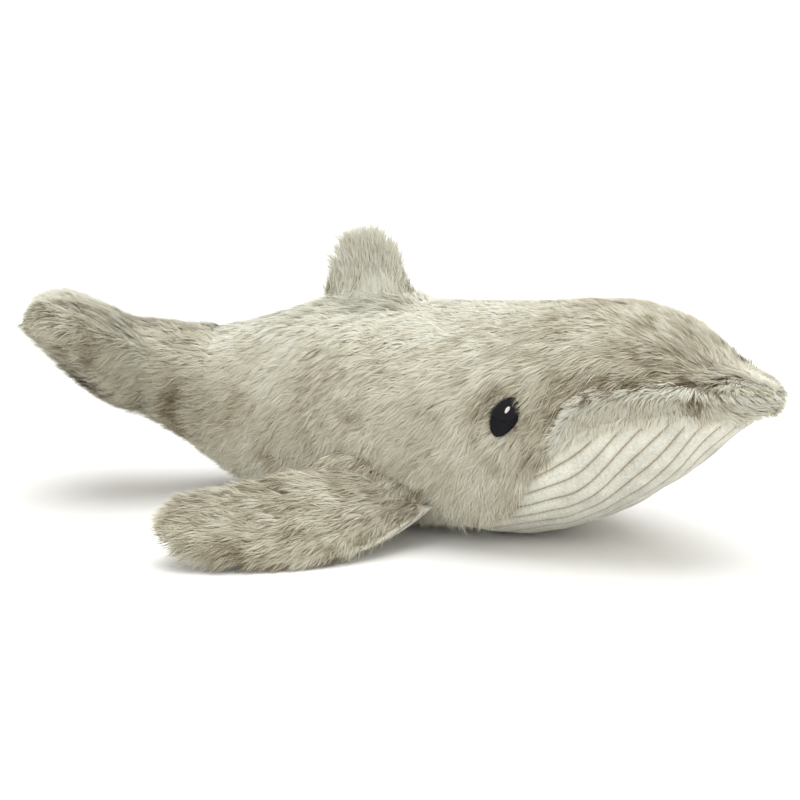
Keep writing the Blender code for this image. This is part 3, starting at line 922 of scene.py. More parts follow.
@dataclass
class FurGrower:
    """Grows fur strands in tufts over a hide, through one node tree."""

    finish: Material
    length: float = 8.6 * MM
    width: float = 0.31 * MM
    density: float = 5.5e6
    tufts: float = 0.44e6
    gather: float = 0.26
    toss: float = math.radians(24)
    stray: float = math.radians(15)
    swirl: float = math.radians(40)
    floor: float = 0.15 * MM
    least_stand: float = 0.12
    most_stand: float = 0.97
    # Scales of the drifts in the lie and in the shade, and of the spots.
    drift_scale: float = 62.0
    shade_scale: float = 38.0
    spot_scale: float = 130.0
    # How far shade, length and lean vary: by tuft, then by strand.
    tone_varies: tuple[float, float] = (0.16, 0.15)
    length_varies: tuple[float, float] = (0.16, 0.24)
    lean_varies: tuple[float, float] = (0.08, 0.05)
    width_varies: float = 0.25
    drift_shade: float = 0.9
    spot_shade: float = 0.85
    tree: Tree = field(init=False)
    strand: Object = field(init=False)

    def __post_init__(self) -> None:
        """Make the strand and the tree."""
        self.strand = self._strand()
        self.tree = self._tree()

    @staticmethod
    def _strand() -> Object:
        """Make one strand: a ribbon one wide, one long and one high that bends over to its tip.

        Returns:
            The strand.
        """
        rows = ((0.0, 1.7), (0.50, 1.0))
        corners = [(up, side, side * wide) for up, wide in rows for side in (-0.5, 0.5)]
        corners.append((1.0, 0.0, 0.0))
        ups, sides, _ = zip(*corners)
        verts = [(x, up**1.25, 1 - (1 - up) ** 1.9) for up, _, x in corners]
        mesh = bpy.data.meshes.new("strand")
        mesh.from_pydata(verts, [], [(0, 1, 3, 2), (2, 3, 4)])
        carry(mesh, {"up": ups, "across": sides})
        mesh.shade_smooth()
        return new_object("strand", mesh)

    def _tree(self) -> Tree:
        """Build the tree that grows strands in tufts from a hide.

        Returns:
            The tree.
        """
        inputs = {
            "Hide": "Geometry",
            "Strand": "Object",
            **dict.fromkeys(FUR_SIZES, "Float"),
            "Seed": "Int",
            "Finish": "Material",
        }
        w, given = start_group("Geometry", "fur strands", inputs, ("Fur",))

        def chance(of: object, seed: int, spread: float = 1.0) -> Socket:
            """A number from -spread to spread, the same for the same id.

            Args:
                of: the id.
                seed: which of its numbers.
                spread: the greatest number.

            Returns:
                The number.
            """
            feeds = {"Min_001": -spread, "Max_001": spread, "ID": of, "Seed": seed}
            node = w.node("FunctionNodeRandomValue", {"data_type": "FLOAT"}, feeds)
            return w.socket(node.outputs, "Value_001")

        def varied(spreads: tuple[float, float], seed: int) -> Socket:
            """A number that varies by tuft and by strand."""
            by_strand = chance(index, seed + 1, spreads[1])
            return w.math("ADD", chance(near, seed, spreads[0]), by_strand)

        def strewn(density: object, seed: object) -> Sequence[Socket]:
            """Points scattered over the hide."""
            feeds = {"Mesh": given["Hide"], "Density": density, "Seed": seed}
            return w.node("GeometryNodeDistributePointsOnFaces", feeds=feeds).outputs

        # Roots all over the hide, and the heart of the tuft that is nearest to each.
        place = w.node("GeometryNodeInputPosition").outputs[0]
        index = w.node("GeometryNodeInputIndex").outputs[0]
        roots = strewn(w.math("MULTIPLY", given["Density"], w.carried("cover")), given["Seed"])
        tufts = strewn(given["Tufts"], w.math("ADD", given["Seed"], 101.0))["Points"]
        feeds = {"Geometry": tufts, "Sample Position": place}
        near = w.node("GeometryNodeSampleNearest", feeds=feeds).outputs["Index"]
        feeds = {"Geometry": tufts, "Value": place, "Index": near}
        options = {"data_type": "FLOAT_VECTOR"}
        heart = w.node("GeometryNodeSampleIndex", options, feeds).outputs["Value"]
        normal = roots["Normal"]

        # Which way each strand lies, how long it is and how far it stands up.
        wave = w.math("SUBTRACT", w.noise(place, self.drift_scale, 2.5), 0.5)
        wave = w.math("MULTIPLY", wave, 2.0)
        angle = w.math("MULTIPLY", chance(near, 1), given["Toss"])
        angle = w.math("MULTIPLY_ADD", chance(index, 2), given["Stray"], angle)
        angle = w.math("MULTIPLY_ADD", wave, given["Swirl"], angle)
        feeds = {"Vector": w.carried("flow", "FLOAT_VECTOR"), "Axis": normal, "Angle": angle}
        flow = w.node("ShaderNodeVectorRotate", {"rotation_type": "AXIS_ANGLE"}, feeds).outputs[0]
        vary = w.math("ADD", varied(self.length_varies, 3), 1.0)
        pile = w.math("MULTIPLY", w.carried("pile"), vary)
        pile = w.math("MULTIPLY", pile, given["Length"])
        stand = w.math("ADD", w.carried("stand"), varied(self.lean_varies, 5))
        stand = w.math("MINIMUM", w.math("MAXIMUM", stand, self.least_stand), self.most_stand)
        run = w.math("SQRT", w.math("SUBTRACT", 1.0, w.math("MULTIPLY", stand, stand)))
        reach = w.scaled(flow, w.math("MULTIPLY", run, pile))
        pull = w.scaled(w.vector("SUBTRACT", heart, place), given["Gather"])
        lay = w.vector("ADD", reach, pull)
        vary = w.math("ADD", chance(index, 7, self.width_varies), 1.0)
        breadth = w.math("MULTIPLY", given["Width"], vary)

        # The shade of each strand, in drifts, in spots, by tuft and by strand.
        drift = w.math("SUBTRACT", w.noise(place, self.shade_scale, 2.0), 0.5)
        spots = w.math("SUBTRACT", w.noise(place, self.spot_scale, 1.0), 0.5)
        tone = w.math("MULTIPLY_ADD", drift, self.drift_shade, 0.5)
        tone = w.math("MULTIPLY_ADD", spots, self.spot_shade, tone)
        # The coat's tint, which holds painted light and shade.
        tone = w.math("ADD", tone, w.carried("tint"))
        tone = w.math("ADD", tone, varied(self.tone_varies, 8))
        tone = w.math("MINIMUM", w.math("MAXIMUM", tone, 0.0), 1.0)

        # The strands themselves, kept off the floor, with their shade and height as their map.
        toned = w.stored(roots["Points"], "tone", tone, "FLOAT", "POINT")
        sizes = (breadth, w.math("MULTIPLY", stand, pile))
        real = w.copies(toned, given["Strand"], lay, normal, sizes)
        spot = w.parted(place)
        lifted = w.joined(spot[0], spot[1], w.math("MAXIMUM", spot[2], given["Floor"]))
        feeds = {"Geometry": real, "Position": lifted}
        real = w.node("GeometryNodeSetPosition", feeds=feeds).outputs[0]
        u = w.math("MULTIPLY_ADD", w.carried("tone"), 0.86, 0.07)
        u = w.math("MULTIPLY_ADD", w.carried("across"), 0.05, u)
        v = w.math("MULTIPLY_ADD", w.carried("up"), 0.92, 0.04)
        real = w.stored(real, FUR_MAP, w.joined(u, v), "FLOAT2", "CORNER")
        return w.finished(real, given["Finish"])

    def grow(self, name: str, coat: Coat, seed: int, sense: int, length: float = 1.0) -> Object:
        """Grow the strands of one piece of fur.

        Args:
            name: the piece's name.
            coat: where and how the fur lies.
            seed: the piece's own seed.
            sense: 1 or -1, whichever makes the hide face out.
            length: the pile's length as a share of the usual one.

        Returns:
            The strands as one plain mesh.
        """
        surface = coat.surface
        rows, columns = surface.points.shape[:2]
        lift = np.sum(coat.direction * surface.normal, axis=-1)
        flow = unit(coat.direction - lift[..., None] * surface.normal)
        stand = np.clip(lift, coat.least_stand, coat.most_stand)
        mesh = bpy.data.meshes.new("hide")
        faces = grid_faces(rows, columns, 0, sense < 0)
        mesh.from_pydata(surface.points.reshape(-1, 3).tolist(), [], faces)
        given = {"pile": coat.pile, "stand": stand, "cover": coat.cover, "tint": coat.tint}
        for label, values in given.items():
            carry(mesh, {label: np.broadcast_to(values, (rows, columns)).ravel()})
        carry(mesh, {"flow": flow.reshape(-1, 3)})
        mesh.shade_smooth()
        values = {label: getattr(self, label.lower()) for label in FUR_SIZES}
        values |= {"Length": self.length * length, "Seed": seed}
        values |= {"Strand": self.strand, "Finish": self.finish}
        return run_tree(name, mesh, self.tree, values)

    def finish_up(self) -> None:
        """Take the model strand out of the scene."""
        bpy.data.objects.remove(self.strand, do_unlink=True)


# Body


@dataclass(frozen=True)
class BodyForm:
    """The stuffed body: cross-sections along a middle line that bends at the tail."""

    length: float = 275 * MM
    width: float = 99 * MM
    height: float = 94 * MM
    nose_to_rest: float = 150 * MM
    nose_cap: float = 11 * MM
    tail_cap: float = 17 * MM
    hem: float = 3 * MM
    bend_radius: float = 112.5 * MM
    bend_start_share: float = 0.70
    fullness: float = 0.92
    # Place from the nose; heights of back, widest line and belly; half the breadth.
    shares: Table = (
        (0.000, 0.771, 0.707, 0.644, 0.111),
        (0.025, 0.782, 0.718, 0.612, 0.146),
        (0.058, 0.803, 0.729, 0.548, 0.192),
        (0.095, 0.846, 0.729, 0.460, 0.242),
        (0.135, 0.904, 0.723, 0.357, 0.293),
        (0.182, 0.963, 0.697, 0.259, 0.343),
        (0.247, 0.997, 0.644, 0.140, 0.404),
        (0.316, 0.984, 0.590, 0.053, 0.447),
        (0.382, 0.957, 0.521, 0.005, 0.478),
        (0.418, 0.947, 0.495, -0.005, 0.488),
        (0.549, 0.913, 0.447, -0.005, 0.500),
        (0.680, 0.880, 0.426, -0.005, 0.455),
        (0.771, 0.848, 0.420, -0.005, 0.394),
        (0.836, 0.798, 0.426, 0.016, 0.343),
        (0.891, 0.750, 0.447, 0.069, 0.298),
        (0.945, 0.718, 0.489, 0.160, 0.258),
        (1.000, 0.707, 0.527, 0.234, 0.222),
    )
    # Place from the nose; how far up the belly's cloth reaches, 1 being the widest line.
    belly_shares: Table = (
        (0.025, 0.00), (0.042, 0.42), (0.080, 0.72), (0.127, 0.84), (0.178, 0.88),
        (0.215, 0.87), (0.255, 0.81), (0.295, 0.75), (0.313, 0.66), (0.329, 0.57),
        (0.349, 0.54), (0.462, 0.43), (0.582, 0.34), (0.691, 0.20), (0.800, 0.00),
    )
    # Place from the nose; girth of the lip's upper edge.
    ridge_shares: Table = (
        (0.000, 0.500), (0.062, 0.460), (0.156, 0.470), (0.200, 0.460), (0.240, 0.500),
        (0.275, 0.620),
    )

    def places(self, inset: float, step: float = 1.8 * MM) -> Array:
        """Places along the body from the nose, close together at both ends."""
        return close_ends(self.length, self.nose_cap, self.tail_cap, inset, step)

    def sections(self, along: Array, inset: float) -> tuple[Array, ...]:
        """Cut the body.

        Args:
            along: places from the nose.
            inset: how far the form is set in.

        Returns:
            The heights of the back, the widest line and the belly, and half the breadth.
        """
        nose, tail = end_rounding(along, self.length, self.nose_cap, self.tail_cap, inset)
        shares = smooth_table(self.shares, along / self.length)
        widest = shares[:, 1] * self.height
        hem = self.hem - min(inset, self.hem * 0.6)
        up = nose * (hem + (shares[:, 0] * self.height - widest - inset - hem) * tail)
        down = nose * (hem + (widest - shares[:, 2] * self.height - inset - hem) * tail)
        half = nose * (shares[:, 3] * self.width - inset)
        return widest + up, widest, widest - down, half

    def spine(self, along: Array) -> tuple[Array, Array]:
        """The middle line in plan and its sideways directions.

        Args:
            along: places from the nose.

        Returns:
            Points in plan, and the directions to the whale's left.
        """
        start = self.bend_start_share * self.length
        turn = np.clip(along - start, 0, None) / self.bend_radius
        x = -self.bend_radius * (1 - np.cos(turn))
        y = np.minimum(along, start) + self.bend_radius * np.sin(turn) - self.nose_to_rest
        return np.stack([x, y], -1), np.stack([np.cos(turn), np.sin(turn)], -1)

    def points(
        self,
        along: Array,
        girth: Array,
        side: int,
        inset: float = 0.0,
        rise: Array | float = 0.0,
    ) -> Array:
        """Find points of the body's surface.

        Args:
            along: places from the nose, one for each row.
            girth: rows by columns, 0 on the back's middle line and 1 on the belly's.
            side: -1 for the whale's right and 1 for its left.
            inset: how far the whole form is set in.
            rise: how far each point is lifted off that.

        Returns:
            Rows by columns of points.
        """
        top, widest, bottom, half = self.sections(along, inset)
        turn = girth * math.pi
        out = np.sin(turn)
        over = np.cos(turn)
        up = np.where(over > 0, (top - widest)[:, None], (widest - bottom)[:, None])
        width = half[:, None]
        reach = width * np.abs(out) ** self.fullness
        height = up * np.sign(over) * np.abs(over) ** self.fullness
        slant = unit(np.stack([out * up, over * width], -1))
        rise = np.maximum(rise, -0.45 * np.minimum(up, width))
        reach = reach + rise * slant[..., 0]
        z = widest[:, None] + height + rise * slant[..., 1]
        z = np.maximum(z, inset - np.minimum(rise, 0))
        middle, sideways = self.spine(along)
        plan = middle[:, None, :] + side * reach[..., None] * sideways[:, None, :]
        return np.concatenate([plan, z[..., None]], -1)

    def taper(self, along: Array) -> Array:
        """How much deeper the hide lies on the snout, where the pile is not brushed flat."""
        return 2.2 * MM * fall(0.05, 0.17, along / self.length)[:, None]

    def seams(self, along: Array) -> tuple[Array, Array]:
        """Girths of the lip's upper edge and of the belly cloth's seam.

        Args:
            along: places from the nose.

        Returns:
            Both girths at each place.
        """
        at = along / self.length
        seam = 1 - smooth_table(self.belly_shares, at)[:, 0] / 2
        ridge = smooth_table(self.ridge_shares, at)[:, 0]
        past_lip = at >= self.ridge_shares[-1][0]
        return np.where(past_lip, seam, np.minimum(ridge, seam)), seam

    def girth_at(self, along: float, height: float) -> float:
        """The girth at which the body's side has this height.

        Args:
            along: the place from the nose.
            height: the height.

        Returns:
            The girth.
        """
        top, widest, bottom, _ = (values[0] for values in self.sections(np.array([along]), 0.0))
        reach = top - widest if height > widest else widest - bottom
        share = (height - widest) / reach
        return math.acos(math.copysign(abs(share) ** (1 / self.fullness), share)) / math.pi

    def side_points(
        self,
        middle: tuple[float, float],
        forward: Array,
        upward: Array,
        side: int,
        rise: Array | float,
    ) -> Array:
        """Find points round a place on the body's side.

        Args:
            middle: the place, along the body and as a girth.
            forward: distances towards the nose.
            upward: distances up the side.
            side: -1 for the whale's right and 1 for its left.
            rise: how far each point is lifted off the surface.

        Returns:
            One point for each distance.
        """
        along, girth = middle
        step = 0.01
        ends = self.points(np.array([along]), np.array([[girth - step, girth + step]]), side)[0]
        per_girth = np.linalg.norm(ends[1] - ends[0]) / (2 * step)
        girths = (girth - upward / per_girth)[:, None]
        rise = np.broadcast_to(rise, forward.shape)[:, None]
        return self.points(along - forward, girths, side, 0.0, rise)[:, 0]


def lie(surface: Surface, tilt: Array, stand: Array | float) -> Array:
    """Directions of fur that lies back along a grid.

    Args:
        surface: the grid.
        tilt: how far the fur turns from the back direction to the down direction.
        stand: how much of it points away from the surface.

    Returns:
        A direction at each point.
    """
    turned = np.cos(tilt)[..., None] * surface.back + np.sin(tilt)[..., None] * surface.down
    stand = np.broadcast_to(stand, tilt.shape)[..., None]
    return unit(turned * np.sqrt(1 - stand**2) + surface.normal * stand)


@dataclass
class FurBody:
    """The two back panels and the two rolled lips, each a hide with its fur."""

    form: BodyForm
    wardrobe: Wardrobe
    grower: FurGrower
    eyes: "EmbroideredEyes"
    pile_depth: float = 2.6 * MM
    seam_depth: float = 1.8 * MM
    hide_thickness: float = 1.2 * MM
    lip_bulge: float = 4.0 * MM
    brow_depth: float = 1.8 * MM
    nose_flow: Point = (0.0, -1.0, -0.12)
    fin_root: Point = (-0.4 * MM, 38 * MM, 84 * MM)
    fin_half: float = 20 * MM
    # How far the fur turns down on the flank, low on it and round the nose.
    turns: Point = (math.radians(38), math.radians(22), math.radians(150))
    # Length and phase of the lip's swelling and of the hollows under its edge.
    swelling: tuple[float, float] = (29 * MM, 0.6)
    hollows: tuple[float, float] = (31 * MM, 1.98)
    zones: tuple[tuple[str, float, float], ...] = (
        ("head", 0.0, 0.30),
        ("shoulder", 0.30, 0.52),
        ("flank", 0.52, 0.74),
        ("tail", 0.74, 1.0),
    )
    back_columns: int = 56
    lip_columns: int = 26
    lip_end: float = 0.004
    back_seed: int = 11
    lip_seed: int = 31

    def build(self) -> None:
        """Make all four panels and their fur."""
        for side in Side:
            self._back(side)
            self._lip(side)

    def _hide(
        self, names: tuple[str, str], side: Side, place: tuple[Array, Array], lifts: Sequence[Array]
    ) -> Surface:
        """Make one panel's hide.

        Args:
            names: the hide's name and its node's, without the side.
            side: which side of the whale.
            place: how far along and round the body its points lie.
            lifts: how far the outer and the inner face are lifted.

        Returns:
            The outer face.
        """
        depths = (self.pile_depth, self.pile_depth + self.hide_thickness)
        faces = [self.form.points(*place, side.value, *pair) for pair in zip(depths, lifts)]
        mesh = sheet_mesh(f"{names[0]}_{side.word}", *faces)
        node = f"{names[1]}_{side.word}"
        make_piece(mesh, self.wardrobe.hide, "body", [node])
        return surface_of(faces[0], -side.value)

    def _fur(self, names: tuple[str, str], side: Side, coat: Coat, seed: int) -> None:
        """Grow a coat and hand it over, by the fur's and its node's names without the side.

        Args:
            names: the fur's name and its node's, without the side.
            side: which side of the whale.
            coat: where and how the fur lies.
            seed: its seed.
        """
        fur = self.grower.grow(f"{names[0]}_{side.word}", coat, seed, side.value)
        hand_over(fur, "body", [f"{names[1]}_{side.word}"])

    def _eye_gap(self, points: Array, side: Side) -> tuple[Array, Array]:
        """How far points lie outside the eye's outline and how far ahead of its middle.

        Args:
            points: points of the hide.
            side: which side of the whale.

        Returns:
            Both distances at each point.
        """
        eyes = self.eyes
        step = np.array([0.0, 1.0, 0.0]) * MM, np.array([0.0, 0.0, 1.0]) * MM
        eye, front, top = self.form.side_points(eyes.middle, *step, side.value, 0.0)
        ahead = (points - eye) @ unit(front - eye)
        above = (points - eye) @ unit(top - eye)
        long_way = ahead * math.cos(eyes.lean) + above * math.sin(eyes.lean)
        short_way = above * math.cos(eyes.lean) - ahead * math.sin(eyes.lean)
        away = np.linalg.norm(points - eye, axis=-1)
        share = np.hypot(long_way / (eyes.length / 2), short_way / (eyes.breadth / 2))
        return away * (1 - 1 / np.maximum(share, 1e-3)), ahead

    def _fin_mound(self, points: Array) -> Array:
        """How much the fur rises round the fin's root, most of it in front.

        Args:
            points: points of the hide.

        Returns:
            A share at each point.
        """
        beside = points - np.array(self.fin_root)
        beside[..., 1] = np.maximum(np.abs(beside[..., 1]) - self.fin_half, 0)
        mound = fall(7 * MM, 17 * MM, np.linalg.norm(beside, axis=-1))
        behind = points[..., 1] - self.fin_root[1]
        return mound * (1 - 0.8 * smooth_step(5 * MM, 22 * MM, behind))

    def _back(self, side: Side) -> None:
        """Make one back panel's hide and, zone by zone, its fur.

        Args:
            side: which side of the whale.
        """
        form = self.form
        along = form.places(self.pile_depth)
        at = (along / form.length)[:, None]
        share = np.linspace(0, 1, self.back_columns)[None, :]
        girth = form.seams(along)[0][:, None] * share
        edge = smooth_step(0.86, 1.0, share) * (self.pile_depth - self.seam_depth)
        brow = fall(0.30, 0.62, girth) * fall(0.06, 0.20, at)
        brow = -self.brow_depth * brow - form.taper(along)
        names = ("back_hide", "back_panel")
        surface = self._hide(names, side, (along, girth), (edge + brow, brow))

        # The lie: back along the whale, turned down on the flank and forward on the nose.
        nose = fall(0.02, 0.10, at)
        flank = smooth_step(0.04, 0.30, girth) * self.turns[0]
        low = smooth_step(0.38, 0.70, girth) * self.turns[1]
        tail = 1 - 0.55 * smooth_step(0.72, 0.95, at)
        tilt = (flank + low) * smooth_step(0.0, 0.14, at) * tail
        tilt = tilt * (1 - nose) + nose * smooth_step(0.0, 0.15, girth) * self.turns[2]
        direction = lie(surface, tilt, 0.21 + 0.15 * smooth_step(0.15, 0.55, girth))
        direction = unit(direction + np.array(self.nose_flow) * nose[..., None] * 0.4)

        # Cover and length: bare at the eye, short round its front and on the nose.
        top = fall(0.10, 0.36, girth)
        gap, ahead = self._eye_gap(surface.points, side)
        cover = smooth_step(-0.5 * MM, 0.3 * MM, gap) * fall(0.955, 0.975, at) * (1 + 0.2 * top)
        mound = self._fin_mound(surface.points)
        pile = 0.92 + 0.08 * smooth_step(0.25, 0.6, girth) - 0.60 * nose + 0.35 * mound
        free = gap + 0.8 * np.maximum(-ahead, 0)
        pile = pile * (0.30 + 0.70 * smooth_step(0.5 * MM, 9.0 * MM, free))

        # Tint: painted shade over the lip; pale low down and on the nose; painted light on the
        # back.
        # Painted shade in the groove between the back's fur and the lip's roll.
        groove = smooth_step(0.90, 1.0, share) * smooth_step(0.03, 0.07, at)
        groove = groove + 0.4 * smooth_step(0.5, 0.9, share) * smooth_step(0.02, 0.08, at)
        tint = -0.28 * groove * fall(0.22, 0.28, at) + 0.10 * smooth_step(0.6, 0.8, girth)
        # Painted light: the top of the back paler, as lit from above, more so past the head.
        tint = tint + top * (0.14 + 0.24 * smooth_step(0.24, 0.42, at))
        tint = tint - 0.16 * fall(0.25, 0.42, at) + 0.3 * nose

        for number, (zone, first, last) in enumerate(self.zones):
            start, end = np.searchsorted(at[:, 0], (first, last), side="right")
            rows = slice(max(start - 1, 0), end)
            part = surface.cut(rows)
            combed = unit(direction[rows] + part.normal * (0.35 * mound[rows])[..., None])
            coat = Coat(part, combed, pile[rows], cover[rows], tint=tint[rows])
            self._fur((f"back_fur_{zone}", names[1]), side, coat, self.back_seed + number)

    def _lip(self, side: Side) -> None:
        """Make one rolled lip's hide and fur.

        Args:
            side: which side of the whale.
        """
        form = self.form
        along = form.places(self.pile_depth)
        lip, seam = form.seams(along)
        keep = slice(0, int(np.flatnonzero(lip > seam - self.lip_end)[0]) + 1)
        along, lip, seam = along[keep], lip[keep], seam[keep]
        at = (along / form.length)[:, None]
        share = np.linspace(0, 1, self.lip_columns)[None, :]
        girth = lip[:, None] + (seam - lip)[:, None] * share
        fade = ((seam - lip) / (seam - lip).max())[:, None]
        wave, hollow = (
            np.sin(along[:, None] * 2 * math.pi / length + phase)
            for length, phase in (self.swelling, self.hollows)
        )
        roll = self.lip_bulge * np.sin(share**0.58 * math.pi) * fade * smooth_step(0.03, 0.13, at)
        roll = roll * (1 + 0.16 * wave)
        edges = np.abs(2 * share - 1) ** 6 * (self.pile_depth - self.seam_depth)
        taper = -form.taper(along) * fall(0.4, 1, share)
        names = ("lip_hide", "upper_lip")
        surface = self._hide(names, side, (along, girth), (roll + edges + taper, taper))

        low = smooth_step(0.22, 0.55, share)
        tilt = math.radians(15) + low * math.radians(58)
        tilt = tilt + fall(0.02, 0.2, at) * math.radians(40)
        nose = fall(0.02, 0.12, at)
        direction = lie(surface, tilt, (0.74 - 0.30 * low) * (1 - 0.45 * nose))
        direction = unit(direction + np.array(self.nose_flow) * nose[..., None] * 2.0)
        hollow = smooth_step(0.45, 0.90, 0.5 + 0.5 * hollow)
        hollow = hollow * smooth_step(0.26, 0.40, share) * fall(0.78, 0.96, share)
        pile = (0.54 + 0.34 * share) * (1 - 0.25 * nose) * (1 - 0.30 * hollow)
        cover = smooth_step(0.0, 0.6 * MM, self._eye_gap(surface.points, side)[0])
        # Tint: a painted highlight along the roll's upper edge, painted shade below it and in the
        # hollows, paler on the nose.
        shaded = 0.30 * bell(share, 0.56, 0.17) + 1.9 * hollow
        shaded = shaded * smooth_step(0.2, 0.5, fade) * smooth_step(0.04, 0.10, at)
        tint = 0.26 + 0.6 * bell(share, 0.13 + 0.05 * wave, 0.14) - 1.25 * shaded + 0.2 * nose
        coat = Coat(surface, direction, pile, cover, tint=tint)
        self._fur(("lip_fur", names[1]), side, coat, self.lip_seed)


@dataclass
class RibbedBelly:
    """The cream throat and belly, sewn from one ribbed cloth."""

    form: BodyForm
    wardrobe: Wardrobe
    groove_depth: float = 1.3 * MM
    thickness: float = 2.2 * MM
    seam_dip: float = 1.6 * MM
    seam_roll: float = 3.0 * MM
    rows: int = 165
    columns: int = 211

    @staticmethod
    def drift(along: Array, arc: Array) -> Array:
        """How far the ribs wander to one side, as cloth that was pulled over a stuffed form.

        Args:
            along: places from the nose.
            arc: distances from the belly's middle line.

        Returns:
            Distances.
        """
        slow = 3.0 * MM * np.sin(2 * math.pi * (along / (84 * MM) + arc / (160 * MM) + 0.15))
        quick = 0.7 * MM * np.sin(2 * math.pi * (along / (37 * MM) - arc / (61 * MM) + 0.4))
        return slow + quick

    @staticmethod
    def slack(along: Array, arc: Array) -> Array:
        """How far the loose cloth dips between its fuller places.

        Args:
            along: places from the nose.
            arc: distances from the belly's middle line.

        Returns:
            Depths.
        """
        first = np.sin(2 * math.pi * (along / (24 * MM) + arc / (33 * MM)))
        other = np.sin(2 * math.pi * (along / (17 * MM) - arc / (26 * MM) + 0.3))
        return 0.28 * MM * (2 + first + other) / 2

    def build(self) -> None:
        """Make the panel."""
        form = self.form
        first, last = form.belly_shares[0][0], form.belly_shares[-1][0]
        turn = np.linspace(0.07, 0.985, self.rows) * math.pi
        share = (1 - np.cos(turn)) / 2
        along = (first + (last - first) * (0.5 * share + 0.5 * turn / math.pi)) * form.length
        _, seam = form.seams(along)
        fine = np.linspace(0, 1, 321)
        arcs = walked(form.points(along, np.repeat(fine[None, :], len(seam), axis=0), 1))
        arcs = arcs[:, -1:] - arcs
        edge = np.array([np.interp(g, fine, arc) for g, arc in zip(seam, arcs)])[:, None]
        across = np.linspace(-1, 1, self.columns)[None, :] * edge
        distances = zip(np.abs(across), arcs)
        girth = np.array([np.interp(a, arc[::-1], fine[::-1]) for a, arc in distances])
        wandered = across + self.drift(along[:, None], across)
        rib = rib_groove(wandered, self.groove_depth, 3)
        roll = np.clip(1 - (edge - np.abs(across)) / self.seam_roll, 0, 1)
        slack = self.slack(along[:, None], across)
        depth = rib * (1 - 0.4 * roll) + self.seam_dip * roll**2 + slack

        def both(inset: float, rise: Array | float) -> Array:
            """Points of the whale's right half of the cloth and of its left half."""
            halves = [form.points(along, girth, side.value, inset, rise) for side in Side]
            return np.where((across < 0)[..., None], *halves)

        outer = both(0.0, -depth)
        outer[..., 2] = np.maximum(outer[..., 2], 0.0)
        inner = both(self.thickness + self.seam_dip, 0.0)
        chart = rib_chart(wandered, along / form.length)
        mesh = sheet_mesh("belly_cloth", outer, inner, chart, flip=True)
        make_piece(mesh, self.wardrobe.ribbed, "body", ["belly_panel"])


@dataclass
class BodyPadding:
    """The stuffing fibre that fills the body."""

    form: BodyForm
    wardrobe: Wardrobe
    depth: float = 5.0 * MM
    step: float = 4 * MM
    columns: int = 33

    def build(self) -> None:
        """Make the padding."""
        along = self.form.places(self.depth, self.step)
        girth = np.repeat(np.linspace(0, 1, self.columns)[None, :], len(along), axis=0)
        lower = -2 * self.form.taper(along)
        left = self.form.points(along, girth, 1, self.depth, lower)
        right = self.form.points(along, girth[:, 1:-1][:, ::-1], -1, self.depth, lower)
        mesh = loft_mesh("body_padding", np.concatenate([left, right], axis=1))
        make_piece(mesh, self.wardrobe.fibre, "body", ["body_stuffing"])


# Eyes


@dataclass
class StitchWorker:
    """Lays satin stitches side by side, through one node tree."""

    thread: float = 0.42 * MM
    drop: float = 0.85 * MM
    tree: Tree = field(init=False)
    stitch: Object = field(init=False)

    def __post_init__(self) -> None:
        """Make the stitch and the tree."""
        self.stitch = self._stitch()
        self.tree = self._tree()

    def _stitch(self) -> Object:
        """Make one stitch: a closed thread from -1 to 1 along Y that drops at both ends.

        Returns:
            The stitch.
        """
        places = np.linspace(-1, 1, 11)[:, None]
        turns = around(6)[None, :]
        thin = np.sqrt(np.clip(1 - places**6, 0.06, 1)) / 2
        x = thin * np.cos(turns) * 1.15
        z = thin * np.sin(turns) - self.drop / self.thread * places**2
        rings = np.stack([x, np.broadcast_to(places, x.shape), z], -1)
        return new_object("stitch", loft_mesh("stitch", rings))

    @staticmethod
    def _tree() -> Tree:
        """Build the tree that lays a stitch at each point.

        Returns:
            The tree.
        """
        inputs = {
            "Points": "Geometry",
            "Stitch": "Object",
            "Thread": "Float",
            "Finish": "Material",
        }
        w, given = start_group("Geometry", "satin stitches", inputs, ("Stitches",))
        lay, lift = (w.carried(name, "FLOAT_VECTOR") for name in ("lay", "lift"))
        sizes = (given["Thread"], given["Thread"])
        laid = w.copies(given["Points"], given["Stitch"], lay, lift, sizes)
        return w.finished(laid, given["Finish"])

    def embroider(
        self, name: str, points: Array, lay: Array, lift: Array, finish: Material
    ) -> Object:
        """Lay stitches.

        Args:
            name: the piece's name.
            points: the middle of each stitch.
            lay: from each middle to the stitch's end.
            lift: away from the cloth at each middle.
            finish: the thread.

        Returns:
            The stitches as one plain mesh.
        """
        mesh = bpy.data.meshes.new("middles")
        mesh.from_pydata(points.tolist(), [], [])
        carry(mesh, {"lay": lay, "lift": lift})
        values = {"Stitch": self.stitch, "Thread": self.thread, "Finish": finish}
        return run_tree(name, mesh, self.tree, values)

    def finish_up(self) -> None:
        """Take the model stitch out of the scene."""
        bpy.data.objects.remove(self.stitch, do_unlink=True)


